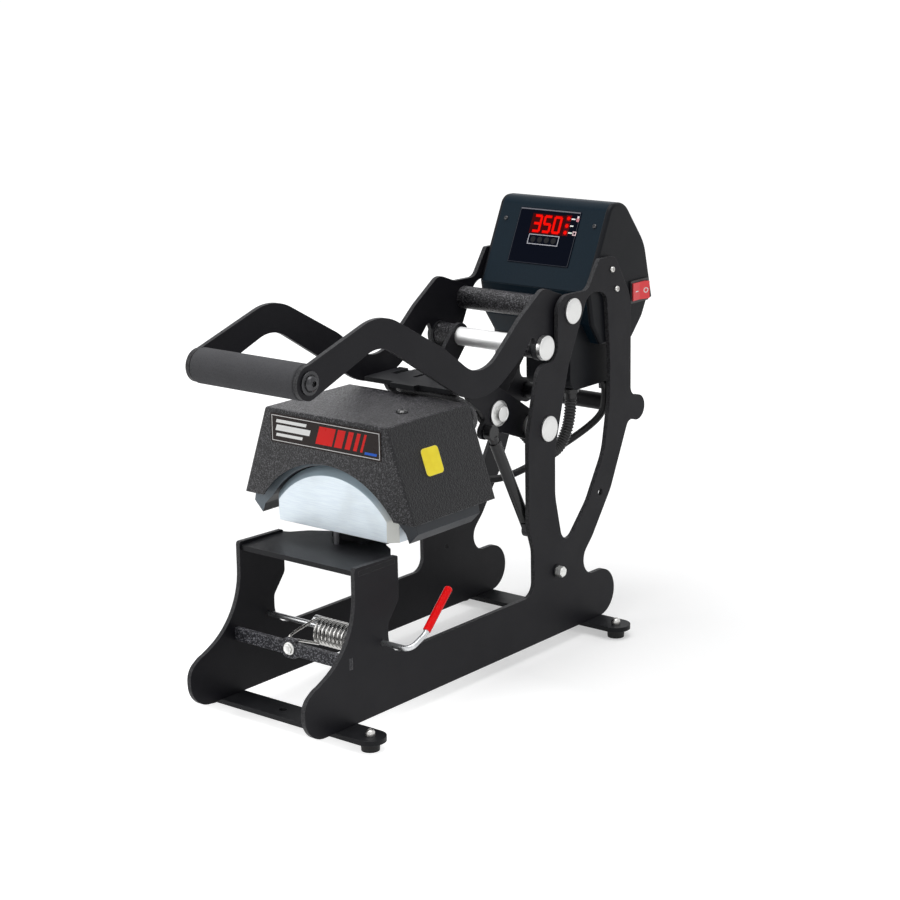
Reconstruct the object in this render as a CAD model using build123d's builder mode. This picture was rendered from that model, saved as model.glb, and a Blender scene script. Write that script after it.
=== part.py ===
from build123d import *
import os
from math import atan2, cos, degrees, hypot, radians, sin, sqrt, tan

os.makedirs("parts", exist_ok=True)

# Cap heat press. Millimetres, +Z up, front is -Y, X = 0 is the plane of symmetry.
# The origin is on the table, under the middle of the press.

# ---------------------------------------------------------------- driving dimensions
plate_t = 4.8                            # laser-cut steel plate, 3/16 in
frame_out = 76.0                         # half of the 6 in frame width
frame_in = frame_out - plate_t
side_gap = 1.4                           # frame plate to handle plate
handle_out = frame_in - side_gap
handle_in = handle_out - plate_t
arm_out = 54.2
arm_in = arm_out - plate_t
link_out = 41.4
link_in = link_out - plate_t
fit = 0.05                               # radial running clearance on pins
face_gap = 0.3                           # clearance between faces that slide

# Pivot centres as (Y, Z) in the closed position.
pivot_handle = (130.0, 350.5)
pivot_link = (88.5, 319.0)
pivot_head = (34.5, 260.0)
pivot_arm = (88.0, 236.5)
spring_top = (14.0, 245.0)
spring_foot = (73.5, 131.0)
lever_axis = (-172.4, 82.6)
tie_axis = (246.0, 228.5)
base_bolt = (101.6, 83.1)
wall_screws = [(199.2, 383.1), (207.4, 361.7)]
crossbar_front = -219.7                  # Y of the crossbar's front face
crossbar_z = 74.25
locating_y = -149.0
base_hole_r = 3.0
side_hole_r = 4.0
washer_r = 6.8
panel_head_r = 2.4
wall_head_r = 3.3

pin_r = 8.0
pin_head_r = 13.1
pin_head_t = 3.2
link_head_r = 12.6
link_head_t = 6.2
arm_pin_r = 6.0
tube_r = 11.75                           # tube and bushes on the two upper pins
stud_r = 4.0

foot_h = 9.0
bar_t = 4.8
bar_w = 30.9
bar_len = 240.0
bar_y = (-225.85, 165.75)
foot_inset = 15.2                        # foot screw from the bar's end
foot_x = bar_len / 2 - foot_inset
plate_z = foot_h + bar_t                 # underside of the side plates
lobe_r = 25.6

platform_z = 155.3
platform_top = platform_z + plate_t
form_z = 174.0
form_front = -154.8
form_back = -59.7
form_r = 96.8                            # outer curve of the lower form
form_cz = 139.2                          # height of the centre of that curve
form_half = 77.5
form_corner_r = 9.0
form_bevel = 8.5

platen_gap = 1.0
platen_r = form_r + platen_gap
platen_t = 20.0
platen_front = -152.0
platen_back = -60.0
platen_edge = form_half + 27.0           # half width over the platen's feet
platen_tip = (platen_edge - 10.5, 177.0)             # lowest point of a foot
platen_step_z = 187.5

cover_t = 2.0
cover_front = -161.5
cover_back = -40.9
cover_foot = (platen_edge + 3.8, 198.0)              # half width and height of the bottom edge
cover_top = (77.0, 287.0)                # half width and height of the top

web_top = 297.8
web_z = web_top - plate_t

box_wall = 2.0
side_wall_t = 4.5
side_wall_round = 3.5
shell_half = frame_in - side_wall_t

# ---------------------------------------------------------------- side plates
plate_outline = [
    (-281.2, 39.4, 0), (-281.2, 54.9, 18), (-209.5, 88.9, 75), (-209.0, 163.9, 3),
    (-148.2, 162.0, 2), (-148.2, 119.2, 8), (-164.3, 99.0, 10), (-164.3, 66.3, 22),
    (63.2, 66.3, 14), (63.2, 114.0, 30), (55.1, 138.0, 30), (55.1, 232.0, 80),
    (73.5, 303.5, 14), (105.4, 303.5, 15.5), (105.4, 368.5, 18), (157.0, 367.5, 12),
    (177.5, 396.8, 4), (204.5, 396.4, 9), (233.7, 350.0, 45), (233.7, 247.0, 10),
    (246.0, 240.0, 0), (246.0, 217.4, 0), (229.0, 217.4, 9), (197.0, 150.0, 60),
    (164.0, 105.6, 30), (123.4, 65.0, 17.5), (177.7, 65.0, 0), (203.3, 39.4, 0),
    (177.7, plate_z, 0), (-255.6, plate_z, 0),
]
leaf_outline = [
    (113.9, 100.2, 13.1), (99.2, 163.0, 60), (99.5, 212.0, 80), (123.0, 296.0, 80),
    (158.0, 366.0, 18), (190.0, 361.0, 14), (196.5, 290.0, 200), (196.0, 245.0, 80),
    (186.0, 192.0, 60), (157.0, 144.6, 50),
]
with BuildPart() as plate_blank:
    with BuildSketch(Plane.YZ.offset(frame_in)):
        with BuildLine():
            FilletPolyline(*[p[:2] for p in plate_outline], radius=[p[2] for p in plate_outline], close=True)
        make_face()
        with Locations((-255.6, plate_z + lobe_r), (177.7, plate_z + lobe_r)):
            Circle(lobe_r)
        with Locations(tie_axis):
            Circle(13.6)
        with BuildLine():
            FilletPolyline(*[p[:2] for p in leaf_outline], radius=[p[2] for p in leaf_outline], close=True)
        make_face(mode=Mode.SUBTRACT)
        with Locations(pivot_handle):
            Circle(pin_r, mode=Mode.SUBTRACT)
        with Locations(pivot_arm):
            Circle(arm_pin_r, mode=Mode.SUBTRACT)
        with Locations(lever_axis):
            Circle(2.75 + fit, mode=Mode.SUBTRACT)
        with Locations(base_bolt):
            Circle(base_hole_r, mode=Mode.SUBTRACT)
        with Locations(*wall_screws):
            Circle(2.5, mode=Mode.SUBTRACT)
        # Slots that take the tabs of the crossbar and of the platform.
        with Locations((crossbar_front + plate_t / 2, crossbar_z)):
            Rectangle(plate_t, 11, mode=Mode.SUBTRACT)
        with Locations((-178.1, platform_z + plate_t / 2)):
            Rectangle(50.4, plate_t, mode=Mode.SUBTRACT)
    extrude(amount=plate_t)

# Only the right plate has the open hole in its rear arm.
with BuildPart() as side_plate_right:
    add(plate_blank.part)
    with BuildSketch(Plane.YZ.offset(frame_in)):
        with Locations((178.6, 149.6)):
            Circle(side_hole_r)
    extrude(amount=plate_t, mode=Mode.SUBTRACT)
side_plate_right.part.label = "side_plate_right"
export_step(side_plate_right.part, "parts/side_plate_right.step")

with BuildPart() as side_plate_left:
    mirror(plate_blank.part, about=Plane.YZ)
side_plate_left.part.label = "side_plate_left"
export_step(side_plate_left.part, "parts/side_plate_left.step")

# ---------------------------------------------------------------- feet
with BuildPart() as foot_bars:
    with BuildSketch(Plane.XY.offset(foot_h)):
        with Locations((0, bar_y[0]), (0, bar_y[1])):
            SlotOverall(bar_len, bar_w)
        with Locations(*[(x, y) for x in (-foot_x, foot_x) for y in bar_y]):
            Circle(3.2, mode=Mode.SUBTRACT)
        with Locations((-5.0, bar_y[0])):
            Circle(4, mode=Mode.SUBTRACT)
    extrude(amount=bar_t)
foot_bars.part.label = "foot_bars"
export_step(foot_bars.part, "parts/foot_bars.step")

with BuildPart() as rubber_feet:
    with Locations(*[(x, y, foot_h / 2) for x in (-foot_x, foot_x) for y in bar_y]):
        Cone(8.7, 9.3, foot_h)
    with Locations(*[(x, y, foot_h) for x in (-foot_x, foot_x) for y in bar_y]):
        Hole(3.0, depth=6.5)
rubber_feet.part.label = "rubber_feet"
export_step(rubber_feet.part, "parts/rubber_feet.step")

with BuildPart() as foot_screws:
    with BuildSketch(Plane.XZ.offset(-bar_y[1])):
        with BuildLine():
            Polyline((foot_x, 4.0), (foot_x + 3.0, 4.0), (foot_x + 3.0, plate_z), (foot_x + 4.6, plate_z))
            Line((foot_x + 4.6, plate_z), (foot_x + 4.6, plate_z + 2.8))
            ThreePointArc((foot_x + 4.6, plate_z + 2.8), (foot_x + 3.7, plate_z + 5.0), (foot_x + 1.8, plate_z + 6.0))
            Polyline((foot_x + 1.8, plate_z + 6.0), (foot_x + 1.8, plate_z + 3.2), (foot_x, plate_z + 3.2), (foot_x, 4.0))
        make_face()
    revolve(axis=Axis((foot_x, bar_y[1], 0), (0, 0, 1)))
    mirror(about=Plane.YZ)
    mirror(about=Plane.XZ.offset(-(bar_y[0] + bar_y[1]) / 2))
foot_screws.part.label = "foot_screws"
export_step(foot_screws.part, "parts/foot_screws.step")

# ---------------------------------------------------------------- platform and lower form
platform_outline = [
    (-frame_in, -206.5, 0), (frame_in, -206.5, 0), (frame_in, -148.2, 2), (65.0, -146.0, 6), (53.0, -131.5, 12),
    (38.0, -122.5, 12), (30.0, -118.0, 8), (30.0, -66.0, 8), (-30.0, -66.0, 8), (-30.0, -118.0, 8),
    (-38.0, -122.5, 12), (-53.0, -131.5, 12), (-65.0, -146.0, 6), (-frame_in, -148.2, 2),
]
with BuildPart() as platform_plate:
    with BuildSketch(Plane.XY.offset(platform_z)):
        with BuildLine():
            FilletPolyline(*[p[:2] for p in platform_outline], radius=[p[2] for p in platform_outline], close=True)
        make_face()
        with Locations((0, -178.1)):
            Rectangle(2 * frame_out, 50.4)
        with Locations((0, locating_y)):
            Circle(3, mode=Mode.SUBTRACT)
    extrude(amount=plate_t)
platform_plate.part.label = "platform_plate"
export_step(platform_plate.part, "parts/platform_plate.step")

with BuildPart() as form_stand:
    with BuildSketch(Plane.XY.offset(platform_top)):
        with Locations((0, -103.0)):
            RectangleRounded(44, 62, 4)
    extrude(amount=form_z - platform_top)
form_stand.part.label = "form_stand"
export_step(form_stand.part, "parts/form_stand.step")

with BuildPart() as locating_pin:
    with BuildSketch(Plane.XY.offset(platform_z)):
        with Locations((0, locating_y)):
            Circle(3)
    extrude(amount=form_z - platform_z)
locating_pin.part.label = "locating_pin"
export_step(locating_pin.part, "parts/locating_pin.step")

form_corner_z = form_cz + (form_r ** 2 - form_half ** 2) ** 0.5
with BuildPart() as lower_form:
    with BuildSketch(Plane.XZ.offset(-form_front)) as form_section:
        with BuildLine():
            Polyline((-form_half, form_corner_z), (-form_half, form_z), (form_half, form_z), (form_half, form_corner_z))
            ThreePointArc((form_half, form_corner_z), (0, form_cz + form_r), (-form_half, form_corner_z))
        make_face()
        fillet(form_section.vertices().sort_by(Axis.Y)[-2:], radius=form_corner_r)
    extrude(amount=form_front - form_back)
    chamfer(lower_form.faces().sort_by(Axis.Y)[0].edges().sort_by(Axis.Z)[1:], length=form_bevel)
lower_form.part.label = "lower_form"
export_step(lower_form.part, "parts/lower_form.step")

# ---------------------------------------------------------------- crossbar, tie tube, brackets
with BuildPart() as front_crossbar:
    with BuildSketch(Plane.XZ.offset(-crossbar_front)):
        with Locations((0, crossbar_z)):
            Rectangle(2 * frame_in, 12.7)
            Rectangle(2 * frame_out, 11)
            RectangleRounded(17, 19, 4)
            Circle(3, mode=Mode.SUBTRACT)
    extrude(amount=-plate_t)
front_crossbar.part.label = "front_crossbar"
export_step(front_crossbar.part, "parts/front_crossbar.step")

with BuildPart() as rear_tie_tube:
    with BuildSketch(Plane.YZ.offset(-frame_in)):
        with Locations(tie_axis):
            Circle(9.2)
            Circle(7.0, mode=Mode.SUBTRACT)
    extrude(amount=2 * frame_in)
rear_tie_tube.part.label = "rear_tie_tube"
export_step(rear_tie_tube.part, "parts/rear_tie_tube.step")

with BuildPart() as gas_spring_brackets:
    with BuildSketch(Plane.YZ.offset(frame_in - 3.0)):
        with Locations(spring_foot):
            Circle(9.5)
    extrude(amount=3.0)
    with BuildSketch(Plane.YZ.offset(57.0)):
        with Locations(spring_foot):
            Circle(stud_r)
    extrude(amount=frame_in - 3.0 - 57.0)
    mirror(about=Plane.YZ)
gas_spring_brackets.part.label = "gas_spring_brackets"
export_step(gas_spring_brackets.part, "parts/gas_spring_brackets.step")

with BuildPart() as base_washers:
    with BuildSketch(Plane.YZ.offset(frame_out)):
        with Locations(base_bolt):
            Circle(washer_r)
            Circle(base_hole_r, mode=Mode.SUBTRACT)
    extrude(amount=1.5)
    mirror(about=Plane.YZ)
base_washers.part.label = "base_washers"
export_step(base_washers.part, "parts/base_washers.step")

with BuildPart() as hex_bolts:
    with BuildSketch(Plane.YZ.offset(frame_out + 1.5)):
        with Locations(base_bolt):
            RegularPolygon(5.0, 6, major_radius=False)
    extrude(amount=7.0)
    with BuildSketch(Plane.YZ.offset(frame_in)):
        with Locations(base_bolt):
            Circle(base_hole_r)
    extrude(amount=plate_t + 1.5)
    mirror(about=Plane.YZ)
    with BuildSketch(Plane.XZ.offset(-crossbar_front)):
        with Locations((0, crossbar_z)):
            RegularPolygon(4.5, 6, major_radius=False)
    extrude(amount=3.6)
    with BuildSketch(Plane.XZ.offset(-crossbar_front)):
        with Locations((0, crossbar_z)):
            Circle(3.0)
    extrude(amount=-9.0)
hex_bolts.part.label = "hex_bolts"
export_step(hex_bolts.part, "parts/hex_bolts.step")

# ---------------------------------------------------------------- fixed pins
with BuildPart() as handle_pivot_pin:
    with BuildSketch(Plane.YZ.offset(-frame_out)):
        with Locations(pivot_handle):
            Circle(pin_r)
    extrude(amount=2 * frame_out)
    with BuildSketch(Plane.YZ.offset(frame_out)):
        with Locations(pivot_handle):
            Circle(pin_head_r)
    extrude(amount=pin_head_t)
    with BuildSketch(Plane.YZ.offset(-frame_out - pin_head_t)):
        with Locations(pivot_handle):
            Circle(pin_head_r)
    extrude(amount=pin_head_t)
    chamfer(handle_pivot_pin.faces().sort_by(Axis.X)[-1].edges(), length=0.5)
    chamfer(handle_pivot_pin.faces().sort_by(Axis.X)[0].edges(), length=0.5)
handle_pivot_pin.part.label = "handle_pivot_pin"
export_step(handle_pivot_pin.part, "parts/handle_pivot_pin.step")

with BuildPart() as arm_pivot_pins:
    with BuildSketch(Plane.YZ.offset(arm_in - 0.6)):
        with Locations(pivot_arm):
            Circle(arm_pin_r)
    extrude(amount=frame_out - arm_in + 0.6)
    with BuildSketch(Plane.YZ.offset(frame_out)):
        with Locations(pivot_arm):
            Circle(pin_head_r)
    extrude(amount=pin_head_t)
    chamfer(arm_pivot_pins.faces().sort_by(Axis.X)[-1].edges(), length=0.5)
    mirror(about=Plane.YZ)
arm_pivot_pins.part.label = "arm_pivot_pins"
export_step(arm_pivot_pins.part, "parts/arm_pivot_pins.step")

# ---------------------------------------------------------------- handle
handle_outline = [
    (-253.6, 361.3, 0), (-154.9, 393.3, 60), (-66.5, 344.4, 60), (-9.7, 302.9, 41), (51.3, 353.9, 60),
    (90.0, 379.5, 16), (134.2, 363.0, 0), (138.0, 340.0, 0), (96.5, 308.5, 0), (76.5, 324.5, 0),
    (72.2, 334.0, 3), (56.0, 317.0, 20), (-10.8, 273.7, 73), (-158.0, 364.5, 40), (-249.0, 330.0, 0),
]
grip_axis = (-253.6, 345.3)
with BuildPart() as handle_plates:
    with BuildSketch(Plane.YZ.offset(handle_in)):
        with BuildLine():
            FilletPolyline(*[p[:2] for p in handle_outline], radius=[p[2] for p in handle_outline], close=True)
        make_face()
        with Locations(grip_axis):
            Circle(16.0)
        with Locations(pivot_handle, pivot_link):
            Circle(13.2)
        with Locations(pivot_handle):
            Circle(pin_r + fit, mode=Mode.SUBTRACT)
        with Locations(pivot_link):
            Circle(pin_r, mode=Mode.SUBTRACT)
        with Locations(grip_axis):
            Circle(5.0, mode=Mode.SUBTRACT)
    extrude(amount=plate_t)
    mirror(about=Plane.YZ)
handle_plates.part.label = "handle_plates"
export_step(handle_plates.part, "parts/handle_plates.step")

with BuildPart() as pivot_tube:
    with BuildSketch(Plane.YZ.offset(-handle_in)):
        with Locations(pivot_handle):
            Circle(tube_r)
            Circle(pin_r + fit, mode=Mode.SUBTRACT)
    extrude(amount=2 * handle_in)
pivot_tube.part.label = "pivot_tube"
export_step(pivot_tube.part, "parts/pivot_tube.step")

with BuildPart() as grip_tube:
    with BuildSketch(Plane.YZ.offset(-handle_in)):
        with Locations(grip_axis):
            Circle(11.0)
            Circle(5.0, mode=Mode.SUBTRACT)
    extrude(amount=2 * handle_in)
grip_tube.part.label = "grip_tube"
export_step(grip_tube.part, "parts/grip_tube.step")

with BuildPart() as grip:
    with BuildSketch(Plane.YZ.offset(-handle_in + 0.4)):
        with Locations(grip_axis):
            Circle(16.75)
            Circle(11.0, mode=Mode.SUBTRACT)
    extrude(amount=2 * handle_in - 0.8)
    fillet(grip.edges().filter_by(GeomType.CIRCLE).filter_by(lambda e: e.radius > 15), radius=2.0)
grip.part.label = "grip"
export_step(grip.part, "parts/grip.step")

with BuildPart() as grip_screws:
    with BuildSketch(Plane.XY.offset(grip_axis[1])):
        with BuildLine():
            Polyline((handle_in - 25.0, grip_axis[0]), (handle_in - 25.0, grip_axis[0] + 5.0),
                     (handle_out, grip_axis[0] + 5.0), (handle_out, grip_axis[0] + 11.0),
                     (handle_out + 1.6, grip_axis[0] + 11.0), (handle_out + 1.6, grip_axis[0] + 9.0))
            ThreePointArc((handle_out + 1.6, grip_axis[0] + 9.0), (handle_out + 4.8, grip_axis[0] + 7.4),
                          (handle_out + 6.2, grip_axis[0] + 4.0))
            Polyline((handle_out + 6.2, grip_axis[0] + 4.0), (handle_out + 6.2, grip_axis[0] + 3.3),
                     (handle_out + 3.0, grip_axis[0] + 3.3), (handle_out + 3.0, grip_axis[0]),
                     (handle_in - 25.0, grip_axis[0]))
        make_face()
    revolve(axis=Axis((0, grip_axis[0], grip_axis[1]), (1, 0, 0)))
    mirror(about=Plane.YZ)
grip_screws.part.label = "grip_screws"
export_step(grip_screws.part, "parts/grip_screws.step")

with BuildPart() as link_pin:
    with BuildSketch(Plane.YZ.offset(-handle_out)):
        with Locations(pivot_link):
            Circle(pin_r)
    extrude(amount=2 * handle_out)
    with BuildSketch(Plane.YZ.offset(handle_out)):
        with Locations(pivot_link):
            Circle(link_head_r)
    extrude(amount=link_head_t)
    with BuildSketch(Plane.YZ.offset(-handle_out)):
        with Locations(pivot_link):
            Circle(pin_r + 1.6)
    extrude(amount=-1.1)
    chamfer(link_pin.faces().sort_by(Axis.X)[-1].edges(), length=0.5)
link_pin.part.label = "link_pin"
export_step(link_pin.part, "parts/link_pin.step")

washer_t = 2.4
with BuildPart() as link_bushes:
    with BuildSketch(Plane.YZ.offset(link_out + 0.2)):
        with Locations(pivot_link):
            Circle(tube_r)
            Circle(pin_r, mode=Mode.SUBTRACT)
    extrude(amount=handle_in - washer_t - link_out - 0.2)
    mirror(about=Plane.YZ)
link_bushes.part.label = "link_bushes"
export_step(link_bushes.part, "parts/link_bushes.step")

with BuildPart() as link_washers:
    with BuildSketch(Plane.YZ.offset(handle_in - washer_t)):
        with Locations(pivot_link):
            Circle(tube_r + 1.2)
            Circle(pin_r, mode=Mode.SUBTRACT)
    extrude(amount=washer_t)
    mirror(about=Plane.YZ)
link_washers.part.label = "link_washers"
export_step(link_washers.part, "parts/link_washers.step")

# ---------------------------------------------------------------- toggle link
link_run = hypot(pivot_link[0] - pivot_head[0], pivot_link[1] - pivot_head[1])
link_turn = degrees(atan2(pivot_link[1] - pivot_head[1], pivot_link[0] - pivot_head[0]))
with BuildPart() as link_plates:
    with BuildSketch(Plane.YZ.offset(link_in)):
        with Locations(((pivot_link[0] + pivot_head[0]) / 2, (pivot_link[1] + pivot_head[1]) / 2)):
            SlotCenterToCenter(link_run, 26.8, rotation=link_turn)
        with Locations(pivot_link):
            Circle(pin_r + fit, mode=Mode.SUBTRACT)
        with Locations(pivot_head):
            Circle(pin_r, mode=Mode.SUBTRACT)
    extrude(amount=plate_t)
    mirror(about=Plane.YZ)
link_plates.part.label = "link_plates"
export_step(link_plates.part, "parts/link_plates.step")

with BuildPart() as link_spacer_tube:
    with BuildSketch(Plane.YZ.offset(-link_in)):
        with Locations(pivot_link):
            Circle(9.6)
            Circle(pin_r + fit, mode=Mode.SUBTRACT)
    extrude(amount=2 * link_in)
link_spacer_tube.part.label = "link_spacer_tube"
export_step(link_spacer_tube.part, "parts/link_spacer_tube.step")

shaft_end = link_out + 2.0
with BuildPart() as link_cross_shaft:
    with BuildSketch(Plane.YZ.offset(-shaft_end)):
        with Locations(pivot_head):
            Circle(pin_r)
    extrude(amount=2 * shaft_end)
link_cross_shaft.part.label = "link_cross_shaft"
export_step(link_cross_shaft.part, "parts/link_cross_shaft.step")

# ---------------------------------------------------------------- head arm
cheek_outline = [
    (-18.0, web_z, 2), (-10.0, 279.0, 8), (8.0, 266.0, 8), (14.0, 258.0, 3), (6.5, 248.0, 0), (9.0, 238.8, 0),
    (22.0, 240.5, 4), (40.0, 239.4, 20), (82.0, 223.4, 0), (97.0, 248.0, 0), (50.0, 278.0, 20), (24.0, web_z, 10),
]
with BuildPart() as arm_cheeks:
    with BuildSketch(Plane.YZ.offset(arm_in)):
        with BuildLine():
            FilletPolyline(*[p[:2] for p in cheek_outline], radius=[p[2] for p in cheek_outline], close=True)
        make_face()
        with Locations(spring_top):
            Circle(8.0)
        with Locations(pivot_arm):
            Circle(14.5)
        with Locations(pivot_head, pivot_arm):
            Circle(pin_r, mode=Mode.SUBTRACT)
        with Locations(spring_top):
            Circle(stud_r, mode=Mode.SUBTRACT)
    extrude(amount=plate_t)
    mirror(about=Plane.YZ)
arm_cheeks.part.label = "arm_cheeks"
export_step(arm_cheeks.part, "parts/arm_cheeks.step")

with BuildPart() as arm_top_plate:
    with BuildSketch(Plane.XY.offset(web_z)):
        with Locations((0, -14.75)):
            Rectangle(2 * arm_out, 54.1)
        with Locations((0, -40.0)):
            Rectangle(30, 16.8)
        with Locations((-(link_in + link_out) / 2, 0), ((link_in + link_out) / 2, 0)):
            Rectangle(2 * face_gap + plate_t + 3.0, 30, mode=Mode.SUBTRACT)
        with Locations((-11.0, -8.5)):
            SlotOverall(17, 5, rotation=90, mode=Mode.SUBTRACT)
    extrude(amount=plate_t)
arm_top_plate.part.label = "arm_top_plate"
export_step(arm_top_plate.part, "parts/arm_top_plate.step")

flange_t = 2.8
with BuildPart() as head_pins:
    with BuildSketch(Plane.YZ.offset(shaft_end + 0.6)):
        with Locations(pivot_head):
            Circle(pin_r)
    extrude(amount=61.5 - shaft_end - 0.6)
    with BuildSketch(Plane.YZ.offset(arm_out)):
        with Locations(pivot_head):
            Circle(pin_head_r)
    extrude(amount=flange_t)
    with BuildSketch(Plane.YZ.offset(arm_in)):
        with Locations(spring_top):
            Circle(stud_r)
    extrude(amount=6.6)
    mirror(about=Plane.YZ)
head_pins.part.label = "head_pins"
export_step(head_pins.part, "parts/head_pins.step")

with BuildPart() as arm_pivot_bushes:
    with BuildSketch(Plane.YZ.offset(arm_in)):
        with Locations(pivot_arm):
            Circle(pin_r)
    extrude(amount=frame_in - face_gap - arm_in)
    with BuildSketch(Plane.YZ.offset(arm_out)):
        with Locations(pivot_arm):
            Circle(pin_head_r)
    extrude(amount=flange_t)
    with BuildSketch(Plane.YZ.offset(arm_in)):
        with Locations(pivot_arm):
            Circle(arm_pin_r + fit)
    extrude(amount=frame_in - arm_in, mode=Mode.SUBTRACT)
    mirror(about=Plane.YZ)
arm_pivot_bushes.part.label = "arm_pivot_bushes"
export_step(arm_pivot_bushes.part, "parts/arm_pivot_bushes.step")

# ---------------------------------------------------------------- heated platen and its hanger
boss_z = 262.0
beam_z = 270.0
beam_top = cover_top[1] - cover_t
with BuildPart() as platen_hanger:
    with Locations((0, -15.5, (beam_z + web_z) / 2)):
        Box(26, 25, web_z - beam_z)
    with Locations((0, -80.0, (beam_z + beam_top) / 2)):
        Box(26, 104, beam_top - beam_z)
    with Locations((0, -104.5, beam_top - 4.0)):
        Box(118, 16, 8)
    with Locations((0, -120.0, (boss_z + beam_z) / 2), (0, -80.0, (boss_z + beam_z) / 2)):
        Box(26, 18, beam_z - boss_z)
platen_hanger.part.label = "platen_hanger"
export_step(platen_hanger.part, "parts/platen_hanger.step")

platen_mouth = (form_half + 1.5, form_cz + (platen_r ** 2 - (form_half + 1.5) ** 2) ** 0.5)
platen_outer_r = platen_r + platen_t
shoulder_x = platen_edge - 8.1
platen_shoulder = (shoulder_x, form_cz + (platen_outer_r ** 2 - shoulder_x ** 2) ** 0.5)
waist = (platen_edge - 2.7, 200.0)
with BuildPart() as heat_platen:
    with BuildSketch(Plane.XZ.offset(-platen_front)):
        with BuildLine():
            Line(platen_tip, (platen_edge, platen_step_z))
            Line((platen_edge, platen_step_z), waist)
            Line(waist, platen_shoulder)
            ThreePointArc(platen_shoulder, (0, form_cz + platen_outer_r), (-platen_shoulder[0], platen_shoulder[1]))
            Line((-platen_shoulder[0], platen_shoulder[1]), (-waist[0], waist[1]))
            Line((-waist[0], waist[1]), (-platen_edge, platen_step_z))
            Line((-platen_edge, platen_step_z), (-platen_tip[0], platen_tip[1]))
            Line((-platen_tip[0], platen_tip[1]), (-platen_tip[0] + 4.0, 186.3))
            Line((-platen_tip[0] + 4.0, 186.3), (-platen_mouth[0], platen_mouth[1]))
            ThreePointArc((-platen_mouth[0], platen_mouth[1]), (0, form_cz + platen_r), platen_mouth)
            Line(platen_mouth, (platen_tip[0] - 4.0, 186.3))
            Line((platen_tip[0] - 4.0, 186.3), platen_tip)
        make_face()
    extrude(amount=platen_front - platen_back)
    with Locations((0, -100.0, boss_z - 8.0)):
        Box(44, 66, 16)
heat_platen.part.label = "heat_platen"
export_step(heat_platen.part, "parts/heat_platen.step")

heater_t = 3.0
with BuildPart() as heating_element:
    with BuildSketch(Plane.XZ.offset(142.0)):
        with Locations((0, form_cz)):
            Circle(platen_outer_r + heater_t)
            Circle(platen_outer_r, mode=Mode.SUBTRACT)
        with Locations((55.0, form_cz + 97.0)):
            Rectangle(60, 52, mode=Mode.INTERSECT)
    extrude(amount=-80.0)
    mirror(about=Plane.YZ)
heating_element.part.label = "heating_element"
export_step(heating_element.part, "parts/heating_element.step")

# ---------------------------------------------------------------- head cover
cover_slope = (cover_foot[0] - cover_top[0]) / (cover_top[1] - cover_foot[1])
cover_side = cover_t * (1 + cover_slope ** 2) ** 0.5
cover_inner_top = cover_top[0] + cover_slope * cover_t - cover_side
with BuildPart() as head_cover:
    with BuildSketch(Plane.XZ.offset(-cover_front)):
        with BuildLine():
            FilletPolyline((-cover_foot[0], cover_foot[1]), (-cover_top[0], cover_top[1]), cover_top, cover_foot,
                           radius=[0, 3.0, 3.0, 0], close=True)
        make_face()
    extrude(amount=cover_front - cover_back)
    fillet(head_cover.faces().sort_by(Axis.Y)[0].edges().sort_by(Axis.Z)[1:], radius=2.5)
    with BuildSketch(Plane.XZ.offset(-cover_front - cover_t)):
        with BuildLine():
            Polyline((-cover_foot[0] + cover_side, cover_foot[1]), (-cover_inner_top, beam_top),
                     (cover_inner_top, beam_top), (cover_foot[0] - cover_side, cover_foot[1]), close=True)
        make_face()
    extrude(amount=cover_front - cover_back + 2 * cover_t, mode=Mode.SUBTRACT)
    with BuildSketch(Plane.XZ.offset(-cover_front + 1.0)):
        with Locations((0, 136.8)):
            Circle(103.5)
    extrude(amount=-cover_t - 4.0, mode=Mode.SUBTRACT)
    # Rear wall: window for the hanger beam, bore for the heater lead, relief over the platen.
    with BuildSketch(Plane.XZ.offset(-cover_back + 4.0)):
        with Locations((0, (beam_z + beam_top) / 2)):
            Rectangle(28, beam_top - beam_z + 2.0)
        with Locations((74.0, 257.5)):
            Circle(5.5)
    extrude(amount=-6.0, mode=Mode.SUBTRACT)
    with Locations((48.0, -104.5, cover_top[1])):
        Hole(2.5, depth=cover_t)
head_cover.part.label = "head_cover"
export_step(head_cover.part, "parts/head_cover.step")

with BuildPart() as cover_screws:
    with BuildSketch(Plane.XZ.offset(104.5)):
        with BuildLine():
            Polyline((48.0, cover_top[1]), (54.0, cover_top[1]), (54.0, cover_top[1] + 0.8))
            ThreePointArc((54.0, cover_top[1] + 0.8), (52.3, cover_top[1] + 2.6), (50.0, cover_top[1] + 3.2))
            Polyline((50.0, cover_top[1] + 3.2), (50.0, cover_top[1] + 1.6), (48.0, cover_top[1] + 1.6),
                     (48.0, cover_top[1]))
        make_face()
    revolve(axis=Axis((48.0, -104.5, 0), (0, 0, 1)))
    with Locations((48.0, -104.5, cover_top[1] - cover_t / 2)):
        Cylinder(2.5, cover_t)
cover_screws.part.label = "cover_screws"
export_step(cover_screws.part, "parts/cover_screws.step")

with BuildPart() as name_plate:
    with BuildSketch(Plane.XZ.offset(-cover_front)):
        with Locations((0.8, 268.2)):
            RectangleRounded(140, 28.5, 1.5)
    extrude(amount=0.5)
name_plate.part.label = "name_plate"
export_step(name_plate.part, "parts/name_plate.step")

side_lean = degrees(atan2(cover_slope, 1.0))
caution_z = 248.0
caution_plane = Plane(
    origin=(cover_foot[0] - cover_slope * (caution_z - cover_foot[1]), -112.8, caution_z),
    x_dir=(0, 1, 0),
    z_dir=(cos(radians(side_lean)), 0, sin(radians(side_lean))),
)
with BuildPart() as caution_plate:
    with BuildSketch(caution_plane):
        RectangleRounded(24.5, 26.5, 4)
    extrude(amount=0.5)
caution_plate.part.label = "caution_plate"
export_step(caution_plate.part, "parts/caution_plate.step")

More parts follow.
